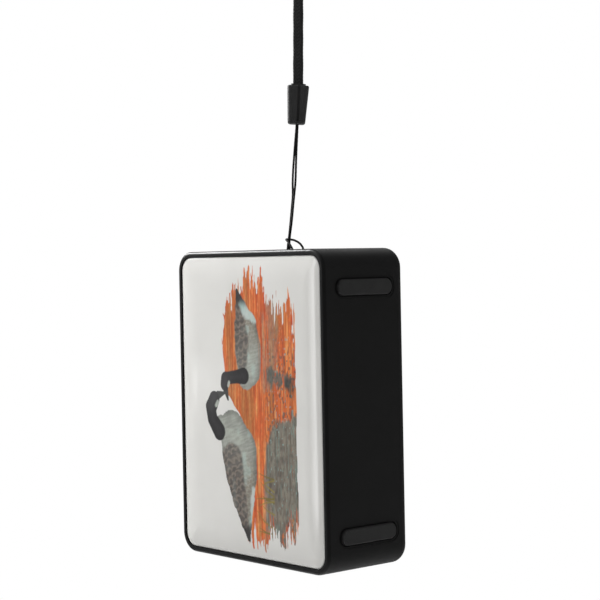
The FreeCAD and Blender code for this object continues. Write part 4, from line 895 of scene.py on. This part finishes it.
def makeSymbol(name):
    low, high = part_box(name + "_button")
    centre = (low + high) / 2
    vertices, faces = [], []
    for loop in symbolLoops(name):
        first, count = len(vertices), len(loop)
        for depth, inset in ((0.00003, 1.0), (-symbols["high"] * 0.7, 1.0), (-symbols["high"], 0.985)):
            for point in loop:
                mid = np.mean(loop, axis=0)
                u, v = mid + (np.array(point) - mid) * inset
                vertices.append((low.x + depth, centre.y + v, centre.z + u))
        for level in range(2):
            for k in range(count):
                n = (k + 1) % count
                a = first + level * count
                faces.append((a + k, a + n, a + count + n, a + count + k))
        faces.append([first + k for k in range(count)][::-1])
        faces.append([first + 2 * count + k for k in range(count)])
    made = meshObject(name + "_symbol", vertices, faces, finishes["key_print"])
    made.data.polygons.foreach_set("use_smooth", [False] * len(made.data.polygons))
    work = bmesh.new()
    work.from_mesh(made.data)
    bmesh.ops.recalc_face_normals(work, faces=work.faces)
    bmesh.ops.triangulate(work, faces=[f for f in work.faces if len(f.verts) > 4])
    work.to_mesh(made.data)
    work.free()
    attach(made, name + "_key")


for keyName in ("power", "volume_down", "play", "volume_up", "call"):
    makeSymbol(keyName)
print("key symbols made")

# Studio: soft lights painted on the surroundings, three soft boxes, and a pale floor well below
studio = {
    "ambient": 0.25, "floorDrop": 0.34, "floorReach": 1.45, "floorGlow": 0.42,
    "glows": {
        # strength, compass angle from none to full and full to none, height angle the same way
        "strip": (3.8, (226.2, 231.0), (232.6, 231.8), (-9.6, -8.8), (50, 30)),
        "haze": (0.14, (180, 214), (226, 222), (-30, -12), (30, 10)),
        "spot": (2.0, (209, 214), (218.5, 216.4), (-5.4, -4.2), (-3.0, -3.9)),
        "side": (0.10, (2, 30), (85, 50), (-30, -10), (35, 10)),
    },
    "lights": {
        # compass angle, height angle, distance, (wide, high), watts
        "key_box": (198, 34, 0.60, (0.16, 0.22), 6.1),
        "high_box": (262, 52, 1.30, (1.00, 0.80), 2.0),
        "top_box": (200, 80, 1.20, (0.90, 0.90), 2.2),
        "rear_box": (125, 40, 1.60, (1.00, 0.80), 3.5),
    },
}


def makeSurroundings():
    world = bpy.data.worlds.new("studio")
    scene.world = world
    world.use_nodes = True
    tree = world.node_tree
    around = addNode(tree, "ShaderNodeTexCoord").outputs["Generated"]
    toward = addNode(tree, "ShaderNodeSeparateXYZ", {0: around})
    turn = calc(tree, "MULTIPLY", calc(tree, "ARCTAN2", toward.outputs[1], toward.outputs[0]), 180 / math.pi)
    compass = calc(tree, "FLOORED_MODULO", calc(tree, "ADD", turn, 360.0), 360.0)
    height = calc(tree, "MULTIPLY", calc(tree, "ARCSINE", toward.outputs[2]), 180 / math.pi)
    total = studio["ambient"]
    for strength, *windows in studio["glows"].values():
        shape = strength
        for value, (none, full) in zip((compass, compass, height, height), windows):
            shape = calc(tree, "MULTIPLY", spread(tree, value, none, full), shape)
        total = calc(tree, "ADD", shape, total)
    seen = tree.nodes["Background"]
    seen.inputs["Color"].default_value = (1, 1, 1, 1)
    around = addNode(tree, "ShaderNodeBackground", {"Strength": total})
    around.inputs["Color"].default_value = (1, 1, 1, 1)
    ray = addNode(tree, "ShaderNodeLightPath")
    mix = addNode(tree, "ShaderNodeMixShader", {0: ray.outputs["Is Camera Ray"], 1: around.outputs[0],
                                                2: seen.outputs[0]})
    tree.links.new(mix.outputs[0], tree.nodes["World Output"].inputs[0])


def makeLights():
    for name, (compass, height, far, (wide, high), watts) in studio["lights"].items():
        data = bpy.data.lights.new(name, "AREA")
        data.shape, data.size, data.size_y, data.energy = "RECTANGLE", wide, high, watts
        turn, lift = math.radians(compass), math.radians(height)
        level = math.cos(lift)
        place = Vector((math.cos(turn) * level, math.sin(turn) * level, math.sin(lift))) * far
        made = bpy.data.objects.new(name, data)
        made.location = boxMiddle + place
        made.rotation_euler = (-place).to_track_quat("-Z", "Y").to_euler()
        made.visible_camera = False
        scene.collection.objects.link(made)


def makeFloor():
    made, tree, shader = startMaterial("floor_paper", Emission_Color=(1, 1, 1, 1))
    texture = placeGroup(made, mouldGroup, Grain_Scale=400.0, Smudge_Scale=3.0)
    tree.links.new(mixColour(tree, texture.outputs["Smudge"], linear(238, 238, 238), linear(242, 242, 242)),
                   shader.inputs["Base Color"])
    tree.links.new(spread(tree, texture.outputs["Grain"], 0.0, 1.0, 0.75, 0.9), shader.inputs["Roughness"])
    ray = addNode(tree, "ShaderNodeLightPath")
    tree.links.new(calc(tree, "MULTIPLY", ray.outputs["Is Camera Ray"], studio["floorGlow"]),
                   shader.inputs["Emission Strength"])
    reach, rings, around = studio["floorReach"], 12, 96
    low = rearLow.z - studio["floorDrop"]
    vertices = [(boxMiddle.x, boxMiddle.y, low)]
    for ring in range(1, rings + 1):
        far = reach * ring / rings
        for k in range(around):
            angle = 2 * math.pi * k / around
            vertices.append((boxMiddle.x + far * math.cos(angle), boxMiddle.y + far * math.sin(angle), low))
    faces = [(0, 1 + k, 1 + (k + 1) % around) for k in range(around)]
    for ring in range(rings - 1):
        for k in range(around):
            a, n = 1 + ring * around, (k + 1) % around
            faces.append((a + k, a + around + k, a + around + n, a + n))
    meshObject("floor", vertices, faces, made)


makeSurroundings()
makeLights()
makeFloor()
scene.view_settings.view_transform = "Standard"
print("studio ready")
